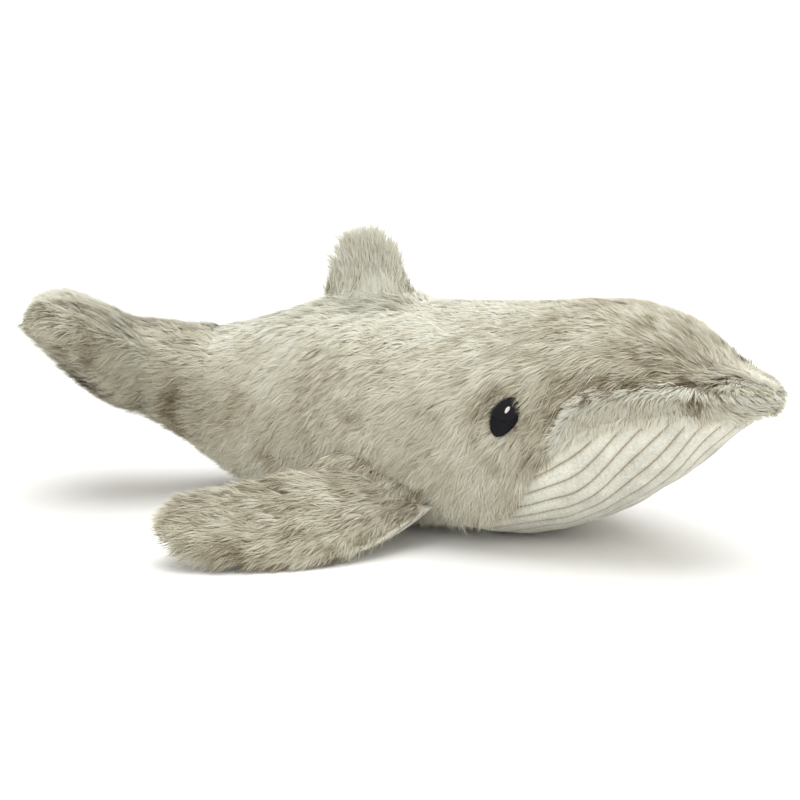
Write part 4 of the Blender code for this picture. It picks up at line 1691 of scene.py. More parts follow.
@dataclass
class EmbroideredEyes:
    """Oval eyes in black satin stitch on a raised pad, each with a white glint."""

    form: BodyForm
    wardrobe: Wardrobe
    stitcher: StitchWorker
    length: float = 14.5 * MM
    breadth: float = 10.8 * MM
    along_share: float = 0.326
    height: float = 56 * MM
    lean: float = math.radians(58)
    sink: float = 0.3 * MM
    root: float = 4.2 * MM
    crown: float = 0.8 * MM
    glint_size: tuple[float, float] = (2.6 * MM, 2.0 * MM)
    glint_place: tuple[float, float] = (0.12, 0.10)
    glint_rise: float = 0.35 * MM

    @property
    def middle(self) -> tuple[float, float]:
        """The eye's middle, along the body and as a girth."""
        along = self.along_share * self.form.length
        return along, self.form.girth_at(along, self.height)

    def build(self) -> None:
        """Make both eyes."""
        looks = self.wardrobe
        size = (self.length, self.breadth)
        glint = (self.glint_place[0] * self.length, self.glint_place[1] * self.length)
        for side in Side:
            word = side.word
            node = [f"eye_{word}"]
            make_piece(self._pad(side), looks.black, "body", node)
            black = self._stitches(f"eye_stitches_{word}", side, (0.0, 0.0), size, 0.0, looks.black)
            hand_over(black, "body", node)
            name = f"eye_glint_{word}"
            rise = self.glint_rise
            white = self._stitches(name, side, glint, self.glint_size, rise, looks.white)
            hand_over(white, "body", [f"eye_highlight_{word}"])

    def _turned(self, long_way: Array, short_way: Array) -> tuple[Array, Array]:
        """Distances along the oval's axes as distances forward and upward.

        Args:
            long_way: distances the long way.
            short_way: distances the short way.

        Returns:
            Distances towards the nose and up the side.
        """
        forward = long_way * math.cos(self.lean) - short_way * math.sin(self.lean)
        upward = long_way * math.sin(self.lean) + short_way * math.cos(self.lean)
        return forward, upward

    def _pad(self, side: Side) -> Mesh:
        """Make the domed pad that the stitches cover.

        Args:
            side: which side of the whale.

        Returns:
            The pad.
        """
        turn = around(40)
        profile = [(0.1, -self.root), (0.9, -self.root), (0.96, -self.sink - 0.9 * MM)]
        for share in (0.96, 0.8, 0.55, 0.3, 0.06):
            profile.append((share, self.crown * (1 - share * share) - self.sink - 0.25 * MM))
        rings = []
        for share, rise in profile:
            long_way = share * self.length / 2 * np.cos(turn)
            short_way = share * self.breadth / 2 * np.sin(turn)
            ways = self._turned(long_way, short_way)
            rings.append(self.form.side_points(self.middle, *ways, side.value, rise))
        return loft_mesh(f"eye_pad_{side.word}", np.array(rings))

    def _stitches(
        self,
        name: str,
        side: Side,
        place: tuple[float, float],
        size: tuple[float, float],
        rise: float,
        finish: Material,
    ) -> Object:
        """Fill an oval with stitches across its short way.

        Args:
            name: the piece's name.
            side: which side of the whale.
            place: how far the oval's middle lies forward and up from the eye's.
            size: the oval's length and breadth.
            rise: how far it lies above the eye's own crown.
            finish: the thread.

        Returns:
            The stitches.
        """
        length, breadth = size
        count = max(4, round(length / (self.stitcher.thread * 0.92)))
        share = (np.arange(count) + 0.5) / count * 2 - 1
        wobble = 1 + 0.035 * np.sin(np.arange(count) * 2.4)
        half = breadth / 2 * np.sqrt(1 - share**2) * wobble
        forward, upward = self._turned(share * length / 2, np.zeros(count))
        forward = forward + place[0]
        upward = upward + place[1]
        dome = self.crown * (1 - share**2 * (length / self.length) ** 2) - self.sink + rise
        ahead, above = self._turned(np.zeros(count), np.full(count, 1.0 * MM))
        spots = ((forward, upward, dome), (forward + ahead, upward + above, dome))
        centre, beside, lifted = (
            self.form.side_points(self.middle, front, top, side.value, high)
            for front, top, high in (*spots, (forward, upward, dome + 1.0 * MM))
        )
        lay = unit(beside - centre) * half[:, None]
        return self.stitcher.embroider(name, centre, lay, unit(lifted - centre), finish)


# Limbs


@dataclass(frozen=True)
class RootSeam:
    """Where a limb is sewn on: its middle, along the seam, outward and up from the limb."""

    middle: Point
    along: Point
    outward: Point
    upward: Point

    def place(self, points: Array) -> Array:
        """Points of the limb's own frame in the whale's."""
        return points @ self.turn() + np.array(self.middle)

    def turn(self) -> Array:
        """The limb's own directions, one a row."""
        return np.array([self.along, self.outward, self.upward])


@dataclass(frozen=True)
class LimbForm:
    """What every flat stuffed limb shares."""

    reach: float
    first_cap: float
    last_cap: float
    half_thickness: float
    hem: float = 3 * MM
    fullness: float = 0.92

    def swell(self, height: Array) -> Array:
        """An oval's height, a little fuller than an ellipse's."""
        return np.sign(height) * np.abs(height) ** self.fullness

    def places(self, inset: float, step: float = 1.8 * MM) -> Array:
        """Places along the limb, close together at both ends."""
        return close_ends(self.reach, self.first_cap, self.last_cap, inset, step)


@dataclass(frozen=True)
class PaddleForm(LimbForm):
    """A limb that reaches out of its hem along a curve."""

    chord: float = 50 * MM
    headings: tuple[float, float] = (0.0, 0.0)
    twist: float = 0.0
    hand: int = 1
    shares: tuple[Point, ...] = ()

    def middle_line(self, along: Array) -> tuple[Array, Array]:
        """The curve that the limb follows, in its own plane.

        Args:
            along: places from the root seam.

        Returns:
            Its X and its Y at each place.
        """
        fine = np.linspace(0, self.reach, 161)
        heading = self.headings[0] + (self.headings[1] - self.headings[0]) * fine / self.reach
        x = np.concatenate([[0], np.cumsum(np.sin(heading[1:]) * fine[1])])
        y = np.concatenate([[0], np.cumsum(np.cos(heading[1:]) * fine[1])])
        return np.interp(along, fine, x), np.interp(along, fine, y)

    def points(
        self, along: Array, turns: Array, inset: float, lift: float = 0.0
    ) -> Array:
        """Find points of the limb's surface.

        Args:
            along: places from the root seam.
            turns: turns round the limb, 0 at one edge and pi at the other.
            inset: how far the form is set in.
            lift: how far the points are lifted off the limb's middle face.

        Returns:
            Rows by columns of points in the limb's own frame.
        """
        hem_cap = min(self.first_cap, max(self.first_cap - inset, 0.4 * MM) + inset)
        first, last = end_rounding(along, self.reach, hem_cap + 0.1 * MM, self.last_cap, inset)
        share = np.clip(along / self.reach, 0, 1)
        shares = smooth_table(self.shares, share)
        hem = max(self.hem - inset, 0.6 * MM)
        thick = hem + (self.half_thickness - self.hem) * shares[:, 1]
        thick = (thick * first * last)[:, None] * self.swell(np.sin(turns))[None, :] + lift
        half_chord = (shares[:, 0] * self.chord - inset) * last
        across = half_chord[:, None] * np.cos(turns)[None, :]
        middle_x, middle_y = self.middle_line(along)
        ease = np.clip(2 * share, 0, 1)
        heading = self.headings[0] + (self.headings[1] - self.headings[0]) * share
        turned = (heading * ease**2 * (3 - 2 * ease))[:, None]
        roll = (self.twist * share)[:, None]
        x = middle_x[:, None] + across * np.cos(turned) * np.cos(roll)
        y = middle_y[:, None] - self.hem - across * np.sin(turned)
        z = thick * np.cos(roll) - across * np.sin(roll)
        return np.stack([self.hand * x, y, z], -1)


@dataclass(frozen=True)
class FlukeForm(LimbForm):
    """The tail flukes: two lobes with a notch between, cut from tip to tip."""

    length: float = 63 * MM
    tip_lift: float = 8.5 * MM
    wedge: float = 0.95
    front_fullness: float = 0.42
    crown: float = 0.35
    # Place out from the middle; front and rear edge; thickness.
    shares: tuple[tuple[float, float, float, float], ...] = (
        (0.00, 0.000, 0.640, 1.00),
        (0.10, 0.000, 0.690, 1.00),
        (0.30, 0.000, 0.930, 1.00),
        (0.48, 0.020, 1.000, 0.95),
        (0.70, 0.170, 0.990, 0.80),
        (0.88, 0.370, 0.940, 0.64),
        (1.00, 0.540, 0.860, 0.52),
    )

    def points(
        self, along: Array, turns: Array, inset: float, lift: float = 0.0
    ) -> Array:
        """Find points of the flukes' surface.

        Args:
            along: places from one tip to the other.
            turns: turns round each section, 0 at its rear edge and pi at its front.
            inset: how far the form is set in.
            lift: how far the points are lifted.

        Returns:
            Rows by columns of points in the flukes' own frame.
        """
        first, last = end_rounding(along, self.reach, self.first_cap, self.last_cap, inset)
        out = np.abs(along - self.reach / 2) / (self.reach / 2)
        shares = smooth_table(self.shares, out)
        tip = first * last
        front = shares[:, 0] * self.length
        rear = shares[:, 1] * self.length
        half = ((rear - front) / 2 - inset) * tip
        thick = (shares[:, 2] * self.half_thickness - inset) * tip
        y = ((front + rear) / 2 - self.hem)[:, None] + half[:, None] * np.cos(turns)[None, :]
        rearward = np.cos(turns)
        height = self.swell(np.sin(turns))
        blunt = -(np.abs(np.sin(turns)) ** self.front_fullness)
        height = np.where((height < 0) & (rearward < 0), blunt, height)
        crown = 1 + self.crown * np.minimum(rearward, 0)
        height = height * np.where(height < 0, 1 - self.wedge * rearward, crown)
        z = thick[:, None] * height[None, :] + self.tip_lift * out[:, None] ** 3 + lift
        x = np.repeat((along - self.reach / 2)[:, None], len(turns), axis=1)
        return np.stack([x, y, z], -1)


    def girdle(
        self, turns: Array, half: float, rears: tuple[float, float], inset: float
    ) -> Array:
        """Find a ring round both lobes a little way from the root.

        Args:
            turns: turns round the ring, 0 at its top.
            half: half of the ring's breadth.
            rears: how far back the ring lies at its top and at its bottom.
            inset: how far the form is set in.

        Returns:
            One point for each turn in the flukes' own frame.
        """
        x = half * np.sin(turns)
        y = sum(rears) / 2 + (rears[0] - rears[1]) / 2 * np.cos(turns)
        faces = np.linspace(0, math.pi, 91)
        ring = []
        for across, back, over in zip(x, y, np.cos(turns)):
            place = np.array([across + self.reach / 2])
            both = [self.points(place, face * faces, inset)[0] for face in (1, -1)]
            heights = [np.interp(back, face[::-1, 1], face[::-1, 2]) for face in both]
            middle, rise = sum(heights) / 2, (heights[0] - heights[1]) / 2
            ring.append((across, back, middle + rise * np.sign(over) * abs(over) ** 0.8))
        return np.array(ring)


@dataclass(frozen=True)
class Limb:
    """One limb: the body it rides on, its form and where it is sewn on."""

    body: str
    form: PaddleForm | FlukeForm
    seam: RootSeam

    def sleeve(
        self,
        turns: Array,
        spots: Sequence[tuple[float, float]],
        stretch: Point,
        shift: Point,
    ) -> list[Array]:
        """Find two rings round the limb's root.

        Args:
            turns: turns round the rings.
            spots: place and inset of the first ring and of the last one.
            stretch: how far the first ring is stretched in the limb's frame.
            shift: how far it is shifted after that.

        Returns:
            Both rings in the whale's frame.
        """
        first, last = (self.form.points(np.array([p]), turns, depth)[0] for p, depth in spots)
        first = first * np.array(stretch) + np.array(shift)
        return [self.seam.place(first), self.seam.place(last)]


Aim = Callable[[Array, Array], Array]
Groom = Callable[[Array], tuple[Array, Array, Array]]


@dataclass
class LimbMaker:
    """Makes the pieces that every limb has: hides with fur, and padding."""

    wardrobe: Wardrobe
    grower: FurGrower
    pile_depth: float = 2.7 * MM
    edge_depths: tuple[float, float] = (4.5 * MM, 4.5 * MM)
    hide_thickness: float = 1.0 * MM
    padding_gap: float = 0.3 * MM
    padding_step: float = 3 * MM
    overhang: float = 0.5
    columns: int = 46
    stands: tuple[float, float] = (0.24, 0.80)

    def face_points(
        self, form: PaddleForm | FlukeForm, face: int, depth: float, edges: tuple[float, float]
    ) -> Array:
        """Find one face's points, set in by its pile and less at its edges.

        Args:
            form: the limb.
            face: 1 for its top and -1 for its underside.
            depth: how far the face is set in at its middle.
            edges: how far it is set in at the edges where its turns start and end.

        Returns:
            Rows by columns of points in the limb's own frame.
        """
        turns = np.linspace(0, math.pi, self.columns) * face
        deep = form.points(form.places(depth), turns, depth)
        points = deep.copy()
        for edge, sign in zip(edges, (1, -1)):
            near = (np.maximum(np.cos(turns) * sign, 0) ** 8)[None, :, None]
            points += (form.points(form.places(edge), turns, edge) - deep) * near
        return points

    def furred_face(
        self,
        limb: Limb,
        names: tuple[str, str, str],
        face: int,
        aim: Aim,
        groom: Groom,
        seed: int,
        length: float = 1.0,
    ) -> None:
        """Make one fur face of a limb.

        Args:
            limb: the limb.
            names: names of the hide, of its fur and of the node they replace.
            face: 1 for its top and -1 for its underside.
            aim: turns points and normals of the limb's frame into fur directions.
            groom: turns points into shares of length and cover, and tints.
            seed: the fur's own seed.
            length: the pile's length as a share of the usual one.
        """
        hide, fur, node = names
        place = limb.seam.place
        outer = self.face_points(limb.form, face, self.pile_depth, self.edge_depths)
        deeper = tuple(depth + self.hide_thickness for depth in self.edge_depths)
        inner = self.face_points(limb.form, face, self.pile_depth + self.hide_thickness, deeper)
        mesh = sheet_mesh(hide, place(outer), place(inner))
        make_piece(mesh, self.wardrobe.hide, limb.body, [node])
        local, sense = facing(outer, np.array([0.0, 0.0, face]))
        turn = limb.seam.turn()
        pile, cover, tint = groom(outer)
        edge = fall(0.2, 0.7, np.abs(local.normal[..., 2:]))
        droop = edge * np.array([0.0, 0.0, -self.overhang])
        direction = unit(unit(aim(outer, local.normal) + droop) @ turn)
        placed = local.turned(place(outer), turn)
        coat = Coat(placed, direction, pile, cover, *self.stands, tint)
        flip = -sense if np.linalg.det(turn) > 0 else sense
        grown = self.grower.grow(fur, coat, seed, flip, length)
        hand_over(grown, limb.body, [node])

    def padding(self, limb: Limb, name: str, node: str) -> None:
        """Make a limb's stuffing.

        Args:
            limb: the limb.
            name: the piece's name.
            node: the node it replaces.
        """
        depth = max(self.pile_depth, *self.edge_depths) + self.hide_thickness + self.padding_gap
        along = limb.form.places(depth, self.padding_step)
        rings = limb.form.points(along, around(40), depth)
        mesh = loft_mesh(name, limb.seam.place(rings))
        make_piece(mesh, self.wardrobe.fibre, limb.body, [node])


@dataclass
class SeamCollar:
    """A short sleeve of fur over a limb's root seam."""

    wardrobe: Wardrobe
    grower: FurGrower
    rows: int = 18
    waist: float = 1.0 * MM

    def build(
        self,
        name: str,
        body: str,
        first: Array,
        last: Array,
        seed: int,
        stand: float = 0.42,
        length: float = 1.0,
        cover: Array | float = 1.0,
        tint: Array | float = 0.0,
    ) -> None:
        """Make the sleeve and its fur.

        Args:
            name: the end of the pieces' names.
            body: the limb's body.
            first: a ring of points inside the whale's body.
            last: a ring of as many points round the limb.
            seed: the fur's own seed.
            stand: how much of the fur points away from the sleeve.
            length: the pile's length as a share of the usual one.
            cover: how much of the fur there is.
            tint: how much lighter or darker the fur is.
        """
        share = np.linspace(0, 1, self.rows)[:, None, None]
        rings = first[None] * (1 - share) + last[None] * share
        middle = rings.mean(axis=1, keepdims=True)
        rings = rings - unit(rings - middle) * (np.sin(share * math.pi) * self.waist)
        crossing = Crossing("body", body, tuple(middle[0, 0]), tuple(middle[-1, 0]))
        mesh = loft_mesh(f"seam_hide_{name}", rings)
        make_piece(mesh, self.wardrobe.hide, crossing, ())
        grid = np.concatenate([rings, rings[:, :1]], axis=1)
        surface, sense = facing(grid, grid - middle)
        even = np.zeros(grid.shape[:2])
        pile = even + 1 - 0.45 * smooth_step(0.4, 1, share[..., 0])
        coat = Coat(surface, lie(surface, even, stand), pile, even + cover, tint=even + tint)
        fur = self.grower.grow(f"seam_fur_{name}", coat, seed, -sense, length)
        hand_over(fur, crossing, ())


@dataclass
class Flippers:
    """The two flippers: fur above, ribbed cream cloth below."""

    maker: LimbMaker
    collar: SeamCollar
    middle: Point = (48.01 * MM, -6.5 * MM, 21.5 * MM)
    along: Point = (0.260466, 0.877312, 0.403089)
    outward: Point = (0.8608, -0.0219, -0.5085)
    upward: Point = (0.4373, -0.4794, 0.7609)
    groove_depth: float = 0.8 * MM
    cloth_thickness: float = 1.4 * MM
    cloth_gap: float = 0.15 * MM
    columns: int = 133
    # How deep the cloth is tucked in along its rear seam and its front one.
    tucks: tuple[float, float] = (7.4 * MM, 4.4 * MM)
    # Place out along the flipper; half the chord; thickness.
    shares: Table = (
        (0.00, 0.400, 0.00),
        (0.14, 0.450, 0.55),
        (0.32, 0.485, 0.94),
        (0.60, 0.438, 1.00),
        (0.82, 0.355, 0.92),
        (1.00, 0.255, 0.75),
    )

    def build(self) -> None:
        """Make both flippers."""
        for side in Side:
            limb = Limb(f"flipper_{side.word}", self._form(side), self._seam(side))
            names = (f"flipper_hide_{side.word}", f"flipper_fur_{side.word}", f"{limb.body}_top")
            self.maker.furred_face(limb, names, 1, self._aim, self._groom, seed=41)
            self._underside(side, limb)
            self._collar(limb)
            self.maker.padding(limb, f"flipper_padding_{side.word}", f"{limb.body}_stuffing")

    def _form(self, side: Side) -> PaddleForm:
        """One flipper's form.

        Args:
            side: which side of the whale.

        Returns:
            The form.
        """
        return PaddleForm(
            reach=90 * MM,
            first_cap=3 * MM,
            last_cap=20 * MM,
            half_thickness=9 * MM,
            chord=50 * MM,
            headings=(math.radians(22), math.radians(68)),
            twist=math.radians(20),
            hand=-side.value,
            shares=self.shares,
        )

    def _seam(self, side: Side) -> RootSeam:
        """One flipper's root seam, from the left one's; the seam itself runs the other way.

        Args:
            side: which side of the whale.

        Returns:
            The seam.
        """
        mirror = np.array([side.value, 1.0, 1.0])
        along = np.array(self.along) * (-1.0, -side.value, -side.value)
        ways = (mirror * self.middle, along, mirror * self.outward, mirror * self.upward)
        return RootSeam(*(tuple(way) for way in ways))

    @staticmethod
    def _aim(points: Array, normal: Array) -> Array:
        """Fur that lies along the flipper and flares at its edges and tip.

        Args:
            points: the hide's points in the limb's own frame.
            normal: the way out at each.

        Returns:
            A direction at each.
        """
        line = points.mean(axis=1)
        ahead = unit(np.gradient(line, axis=0))
        tip = int(len(points) * 0.8)
        ahead[tip:] = ahead[tip]
        away = points - line[:, None, :]
        away[..., 2] = 0
        away[:, : away.shape[1] // 3] *= 0.45
        return unit(ahead[:, None, :] + 0.55 * (away / (25 * MM)) + 0.28 * normal)

    @staticmethod
    def _groom(points: Array) -> tuple[Array, Array, Array]:
        """Short and sparse fur along the front edge near the root, where the cloth turns over.

        Args:
            points: the hide's points in the limb's own frame.

        Returns:
            Shares of length and cover, and tints.
        """
        along = np.linspace(0, 1, points.shape[0])[:, None]
        across = np.linspace(0, 1, points.shape[1])[None, :]
        front = smooth_step(0.80, 0.92, across) * fall(0.36, 0.56, along)
        rear = fall(0.10, 0.45, across) * (0.5 - 0.25 * smooth_step(0.2, 0.5, along))
        pile = 0.6 + 0.4 * smooth_step(0, 0.12, along)
        pile = pile * (1 - 0.25 * smooth_step(0.8, 1, along)) * (1 - 0.5 * front) * (1 - rear)
        return pile, 1 - 0.85 * front, -0.20 + 0.10 * smooth_step(0.7, 1, along)

    def _collar(self, limb: Limb) -> None:
        """Cover the root seam, on the upper face only.

        Args:
            limb: the flipper.
        """
        turns = around(40)
        spots = ((8 * MM, 2.8 * MM), (21 * MM, 3.4 * MM))
        rings = limb.sleeve(turns, spots, (1.0, 0.0, 1.1), (0.0, -5.0 * MM, 0.5 * MM))
        shown = np.append(turns, 0.0)
        cover = smooth_step(-0.05, 0.15, np.sin(shown)) * fall(0.70, 0.85, shown / math.pi)
        # Darker where the flipper meets the body: painted shade at the root.
        groom = {"length": 0.9, "cover": cover[None, :], "tint": -0.3}
        self.collar.build(limb.body, limb.body, *rings, seed=75, stand=0.30, **groom)

    def _tuck(self, form: PaddleForm, along: Array, turns: Array) -> Array:
        """Find how the cloth turns in to its seams, on the upper face near the root in front.

        Args:
            form: the flipper.
            along: places of the cloth's rows.
            turns: turns of its columns, from the rear seam to the front one.

        Returns:
            How far each of the cloth's points moves.
        """
        share = -turns[None, :] / math.pi
        far = smooth_step(0.34, 0.56, along / form.reach)[:, None]
        front = smooth_step(1.08 - 0.15 * far, 1.12 - 0.11 * far, share)
        flat = form.points(along, turns, 0.0)
        tuck = np.zeros_like(flat)
        for depth, weight in zip(self.tucks, (fall(0.0, 0.15, share), front)):
            deep = form.points(form.places(depth, RIB_STEP), turns, depth)
            tuck += (deep - flat) * weight[..., None]
        return tuck

    def _underside(self, side: Side, limb: Limb) -> None:
        """Make one flipper's ribbed underside.

        Args:
            side: which side of the whale.
            limb: the flipper.
        """
        form = limb.form
        along = form.places(0.0, RIB_STEP)
        turns = np.linspace(0.0, -1.12, self.columns) * math.pi
        flat = form.points(along, turns, 0.0, -self.cloth_gap)
        arc = walked(flat)
        arc = arc - arc[:, -1:] / 2
        depth = rib_groove(arc, self.groove_depth, 5)
        thickness = self.cloth_thickness
        inner = form.points(form.places(thickness, RIB_STEP), turns, thickness)
        tuck = self._tuck(form, along, turns)
        outer = flat + unit(inner - flat) * depth[..., None] + tuck
        faces = (limb.seam.place(outer), limb.seam.place(inner + tuck))
        chart = rib_chart(arc, along / form.reach)
        mesh = sheet_mesh(f"flipper_cloth_{side.word}", *faces, chart)
        finish = self.maker.wardrobe.ribbed
        make_piece(mesh, finish, limb.body, [f"{limb.body}_underside"])


@dataclass
class DorsalFin:
    """The small rounded fin on the back, fur on both sides."""

    maker: LimbMaker
    collar: SeamCollar
    limb: Limb = Limb(
        "dorsal_fin",
        PaddleForm(
            reach=26.5 * MM,
            first_cap=3 * MM,
            last_cap=12 * MM,
            half_thickness=8.5 * MM,
            chord=38 * MM,
            headings=(math.radians(-8), math.radians(-8)),
            shares=(
                (0.00, 0.470, 0.00),
                (0.25, 0.500, 0.62),
                (0.60, 0.460, 1.00),
                (1.00, 0.370, 0.85),
            ),
        ),
        RootSeam(
            (-0.405 * MM, 37.984 * MM, 85.904 * MM),
            (-0.022374, 0.994691, -0.10045),
            (-0.0023, 0.1004, 0.9949),
            (0.9997, 0.0225, 0.0),
        ),
    )
    heart: Point = (0.0, -26 * MM, 0.0)

    def build(self) -> None:
        """Make the fin."""
        limb = self.limb
        for face, word in ((1, "left"), (-1, "right")):
            names = (f"fin_hide_{word}", f"fin_fur_{word}", f"dorsal_fin_{word}_panel")
            self.maker.furred_face(limb, names, face, self._aim, self._groom, 51, 0.95)
        self.maker.padding(limb, "fin_padding", "dorsal_fin_stuffing")
        spots = ((5 * MM, 2.5 * MM), (12 * MM, 4.0 * MM))
        rings = limb.sleeve(around(36), spots, (1.28, 0.0, 2.2), (0.0, -5.5 * MM, 0.0))
        # The collar paler, like the fin: painted light.
        groom = {"stand": 0.40, "length": 0.95, "tint": 0.3}
        self.collar.build("dorsal_fin", limb.body, *rings, seed=71, **groom)

    def _aim(self, points: Array, normal: Array) -> Array:
        """Fur that fans out from below the root."""
        return unit(unit(points - np.array(self.heart)) + 0.30 * normal)

    @staticmethod
    def _groom(points: Array) -> tuple[Array, Array, Array]:
        """Even fur, paler as painted light on the fin's sides, shorter at the seam.

        Args:
            points: the hide's points in the limb's own frame.

        Returns:
            Shares of length and cover, and tints.
        """
        ones = np.ones(points.shape[:2])
        pile = 0.6 + 0.4 * smooth_step(0, 6 * MM, points[..., 1])
        # The fin's fur paler: painted light on its sides.
        return pile * (1 - 0.12 * smooth_step(12 * MM, 24 * MM, points[..., 1])), ones, ones * 0.42


@dataclass
class TailFlukes:
    """The two-lobed tail, fur on both sides."""

    maker: LimbMaker
    collar: SeamCollar
    body: BodyForm
    limb: Limb = Limb(
        "flukes",
        FlukeForm(reach=75 * MM, first_cap=12 * MM, last_cap=12 * MM, half_thickness=15 * MM),
        RootSeam(
            (-31.127 * MM, 120.254 * MM, 51.3 * MM),
            (0.725168, 0.685445, -0.06555),
            (-0.629, 0.6981, 0.342),
            (0.2802, -0.2068, 0.9374),
        ),
    )
    heart: Point = (0.0, -26 * MM, 0.0)
    collar_place: float = 0.925

    def build(self) -> None:
        """Make the flukes."""
        limb = self.limb
        for face, word in ((1, "top"), (-1, "underside")):
            names = (f"fluke_hide_{word}", f"fluke_fur_{word}", f"fluke_{word}")
            self.maker.furred_face(limb, names, face, self._aim, self._groom, seed=61)
        self.maker.padding(limb, "fluke_padding", "fluke_stuffing")
        turns = around(48)
        girth = np.where(turns <= math.pi, turns, 2 * math.pi - turns) / math.pi
        along = np.array([self.collar_place * self.body.length])
        right, left = (self.body.points(along, girth[None], s.value, 3.6 * MM)[0] for s in Side)
        first = np.where((turns <= math.pi)[:, None], left, right)
        last = limb.seam.place(limb.form.girdle(turns, 25 * MM, (24 * MM, 13 * MM), 3.0 * MM))
        # Painted shade in the fold where the tail meets the flukes, most on the lower half.
        fold = -0.38 * bell(np.linspace(0, 1, self.collar.rows), 0.30, 0.12)[:, None]
        tint = fold * (0.25 + 0.75 * smooth_step(0.2, 0.5, np.append(girth, 0.0)))[None, :]
        self.collar.build("flukes", limb.body, first, last, seed=81, stand=0.40, tint=tint)

    def _aim(self, points: Array, normal: Array) -> Array:
        """Fur that fans out over each lobe from the root.

        Args:
            points: the hide's points in the limb's own frame.
            normal: the way out at each.

        Returns:
            A direction at each.
        """
        away = points - np.array(self.heart)
        away[..., 2] = 0
        return unit(unit(away) + 0.30 * normal)

    def _groom(self, points: Array) -> tuple[Array, Array, Array]:
        """Shorter fur at the rear edge; painted shade between the lobes; painted light on one lobe.

        Args:
            points: the hide's points in the limb's own frame.

        Returns:
            Shares of length and cover, and tints.
        """
        rearward = points[..., 1] / self.limb.form.length
        pile = 1 - 0.28 * smooth_step(0.6, 0.95, rearward)
        # Painted shade in the fold between the lobes; painted light on the far lobe, lit from
        # above.
        fold = bell(points[..., 0], 0.0, 4 * MM) * smooth_step(0.25, 0.5, rearward)
        tint = -0.02 - 0.5 * fold + 0.50 * smooth_step(0, 20 * MM, points[..., 0])
        return pile, np.ones_like(pile), tint


# Studio


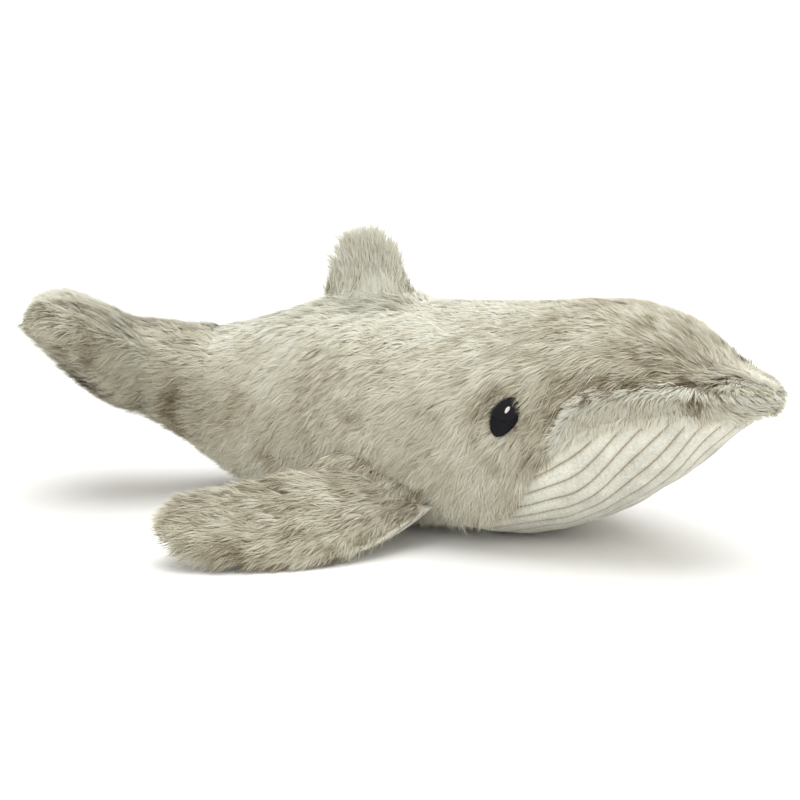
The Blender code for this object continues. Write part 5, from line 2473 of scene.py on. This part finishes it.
@dataclass
class Studio:
    """A plain pale floor, soft light and the photograph's view."""

    target: Point = (0.0, -45 * MM, 0.0)
    azimuth: float = math.radians(-55)
    elevation: float = math.radians(15)
    distance: float = 1.0
    focal_pixels: float = 2591.0
    target_pixel: tuple[float, float] = (540.0, 531.0)
    image: float = 800.0
    sensor: float = 36.0
    floor_half: float = 6.0
    # Name, the way to it, its spread in degrees and its strength.
    lamps: tuple[tuple[str, Point, float, float], ...] = (
        ("overhead lamp", (0.08, 0.0, 1.0), 60.0, 2.2),
        ("front lamp", (-0.9, -0.45, 0.7), 60.0, 0.65),
    )

    def build(self) -> None:
        """Set up the floor, the lights, the world and the camera."""
        self._floor()
        self._world()
        self._lights()
        self._camera()

    def _floor(self) -> None:
        """Lay the pale floor."""
        half = self.floor_half
        corners = [(-half, -half, 0), (half, -half, 0), (half, half, 0), (-half, half, 0)]
        mesh = bpy.data.meshes.new("floor")
        mesh.from_pydata(corners, [], [(0, 1, 2, 3)])
        material = bpy.data.materials.new("pale floor")
        material.use_nodes = True
        wiring = Wiring(material.node_tree)
        colour = wiring.mix(wiring.seen(), (0.78, 0.77, 0.75, 1.0), (1.0, 1.0, 1.0, 1.0))
        looks = {"Roughness": 0.9, "Specular IOR Level": 0.1, "Base Color": colour}
        wiring.feed(material.node_tree.nodes["Principled BSDF"], looks)
        mesh.materials.append(material)
        new_object("floor", mesh)

    def _world(self) -> None:
        """Light the scene evenly from all round."""
        world = bpy.data.worlds.new("studio")
        world.use_nodes = True
        wiring = Wiring(world.node_tree)
        seen = wiring.seen()
        strength = wiring.math("MULTIPLY_ADD", seen, 0.45, 0.55)
        colour = wiring.mix(seen, (1.0, 0.98, 0.93, 1.0), (1.0, 1.0, 1.0, 1.0))
        wiring.feed(world.node_tree.nodes["Background"], {"Strength": strength, "Color": colour})
        bpy.context.scene.world = world

    def _lights(self) -> None:
        """Hang two broad soft lamps far off, so that the whole floor is lit alike."""
        for name, toward, spread, strength in self.lamps:
            light = bpy.data.lights.new(name, "SUN")
            light.angle = math.radians(spread)
            light.energy = strength
            lamp = bpy.data.objects.new(name, light)
            lamp.matrix_world = Vector(toward).to_track_quat("Z", "Y").to_matrix().to_4x4()
            bpy.context.scene.collection.objects.link(lamp)

    def _camera(self) -> None:
        """Stand the camera where the photograph was taken."""
        toward = Vector(
            (
                math.sin(self.azimuth) * math.cos(self.elevation),
                -math.cos(self.azimuth) * math.cos(self.elevation),
                math.sin(self.elevation),
            )
        )
        eye = Vector(self.target) + toward * self.distance
        right = Vector((math.cos(self.azimuth), math.sin(self.azimuth), 0))
        forward = -toward
        up = right.cross(forward)
        pan = math.atan((self.target_pixel[0] - self.image / 2) / self.focal_pixels)
        tilt = math.atan((self.target_pixel[1] - self.image / 2) / self.focal_pixels)
        axes = Matrix((right, up, -forward)).transposed()
        turned = axes.to_4x4() @ Matrix.Rotation(pan, 4, "Y") @ Matrix.Rotation(tilt, 4, "X")
        camera = bpy.data.cameras.new("photograph")
        camera.sensor_width = self.sensor
        camera.lens = self.focal_pixels / self.image * self.sensor
        camera.clip_start = 0.01
        stand = bpy.data.objects.new("photograph", camera)
        stand.matrix_world = Matrix.Translation(eye) @ turned
        bpy.context.scene.collection.objects.link(stand)
        bpy.context.scene.camera = stand
        bpy.context.scene.view_settings.view_transform = "Standard"


def main() -> None:
    """Dress the whale and set up its studio."""
    logging.basicConfig(level=logging.INFO, format="%(message)s")
    Studio().build()
    wardrobe = Wardrobe()
    form = BodyForm()
    grower = FurGrower(wardrobe.fur)
    stitcher = StitchWorker()
    eyes = EmbroideredEyes(form, wardrobe, stitcher)
    FurBody(form, wardrobe, grower, eyes).build()
    RibbedBelly(form, wardrobe).build()
    BodyPadding(form, wardrobe).build()
    eyes.build()
    collar = SeamCollar(wardrobe, grower)
    Flippers(LimbMaker(wardrobe, grower, edge_depths=(7.0 * MM, 1.2 * MM)), collar).build()
    DorsalFin(LimbMaker(wardrobe, grower, 3.4 * MM, (4.0 * MM, 4.4 * MM)), collar).build()
    TailFlukes(LimbMaker(wardrobe, grower), collar, form).build()
    grower.finish_up()
    stitcher.finish_up()


if __name__ == "__main__":
    main()
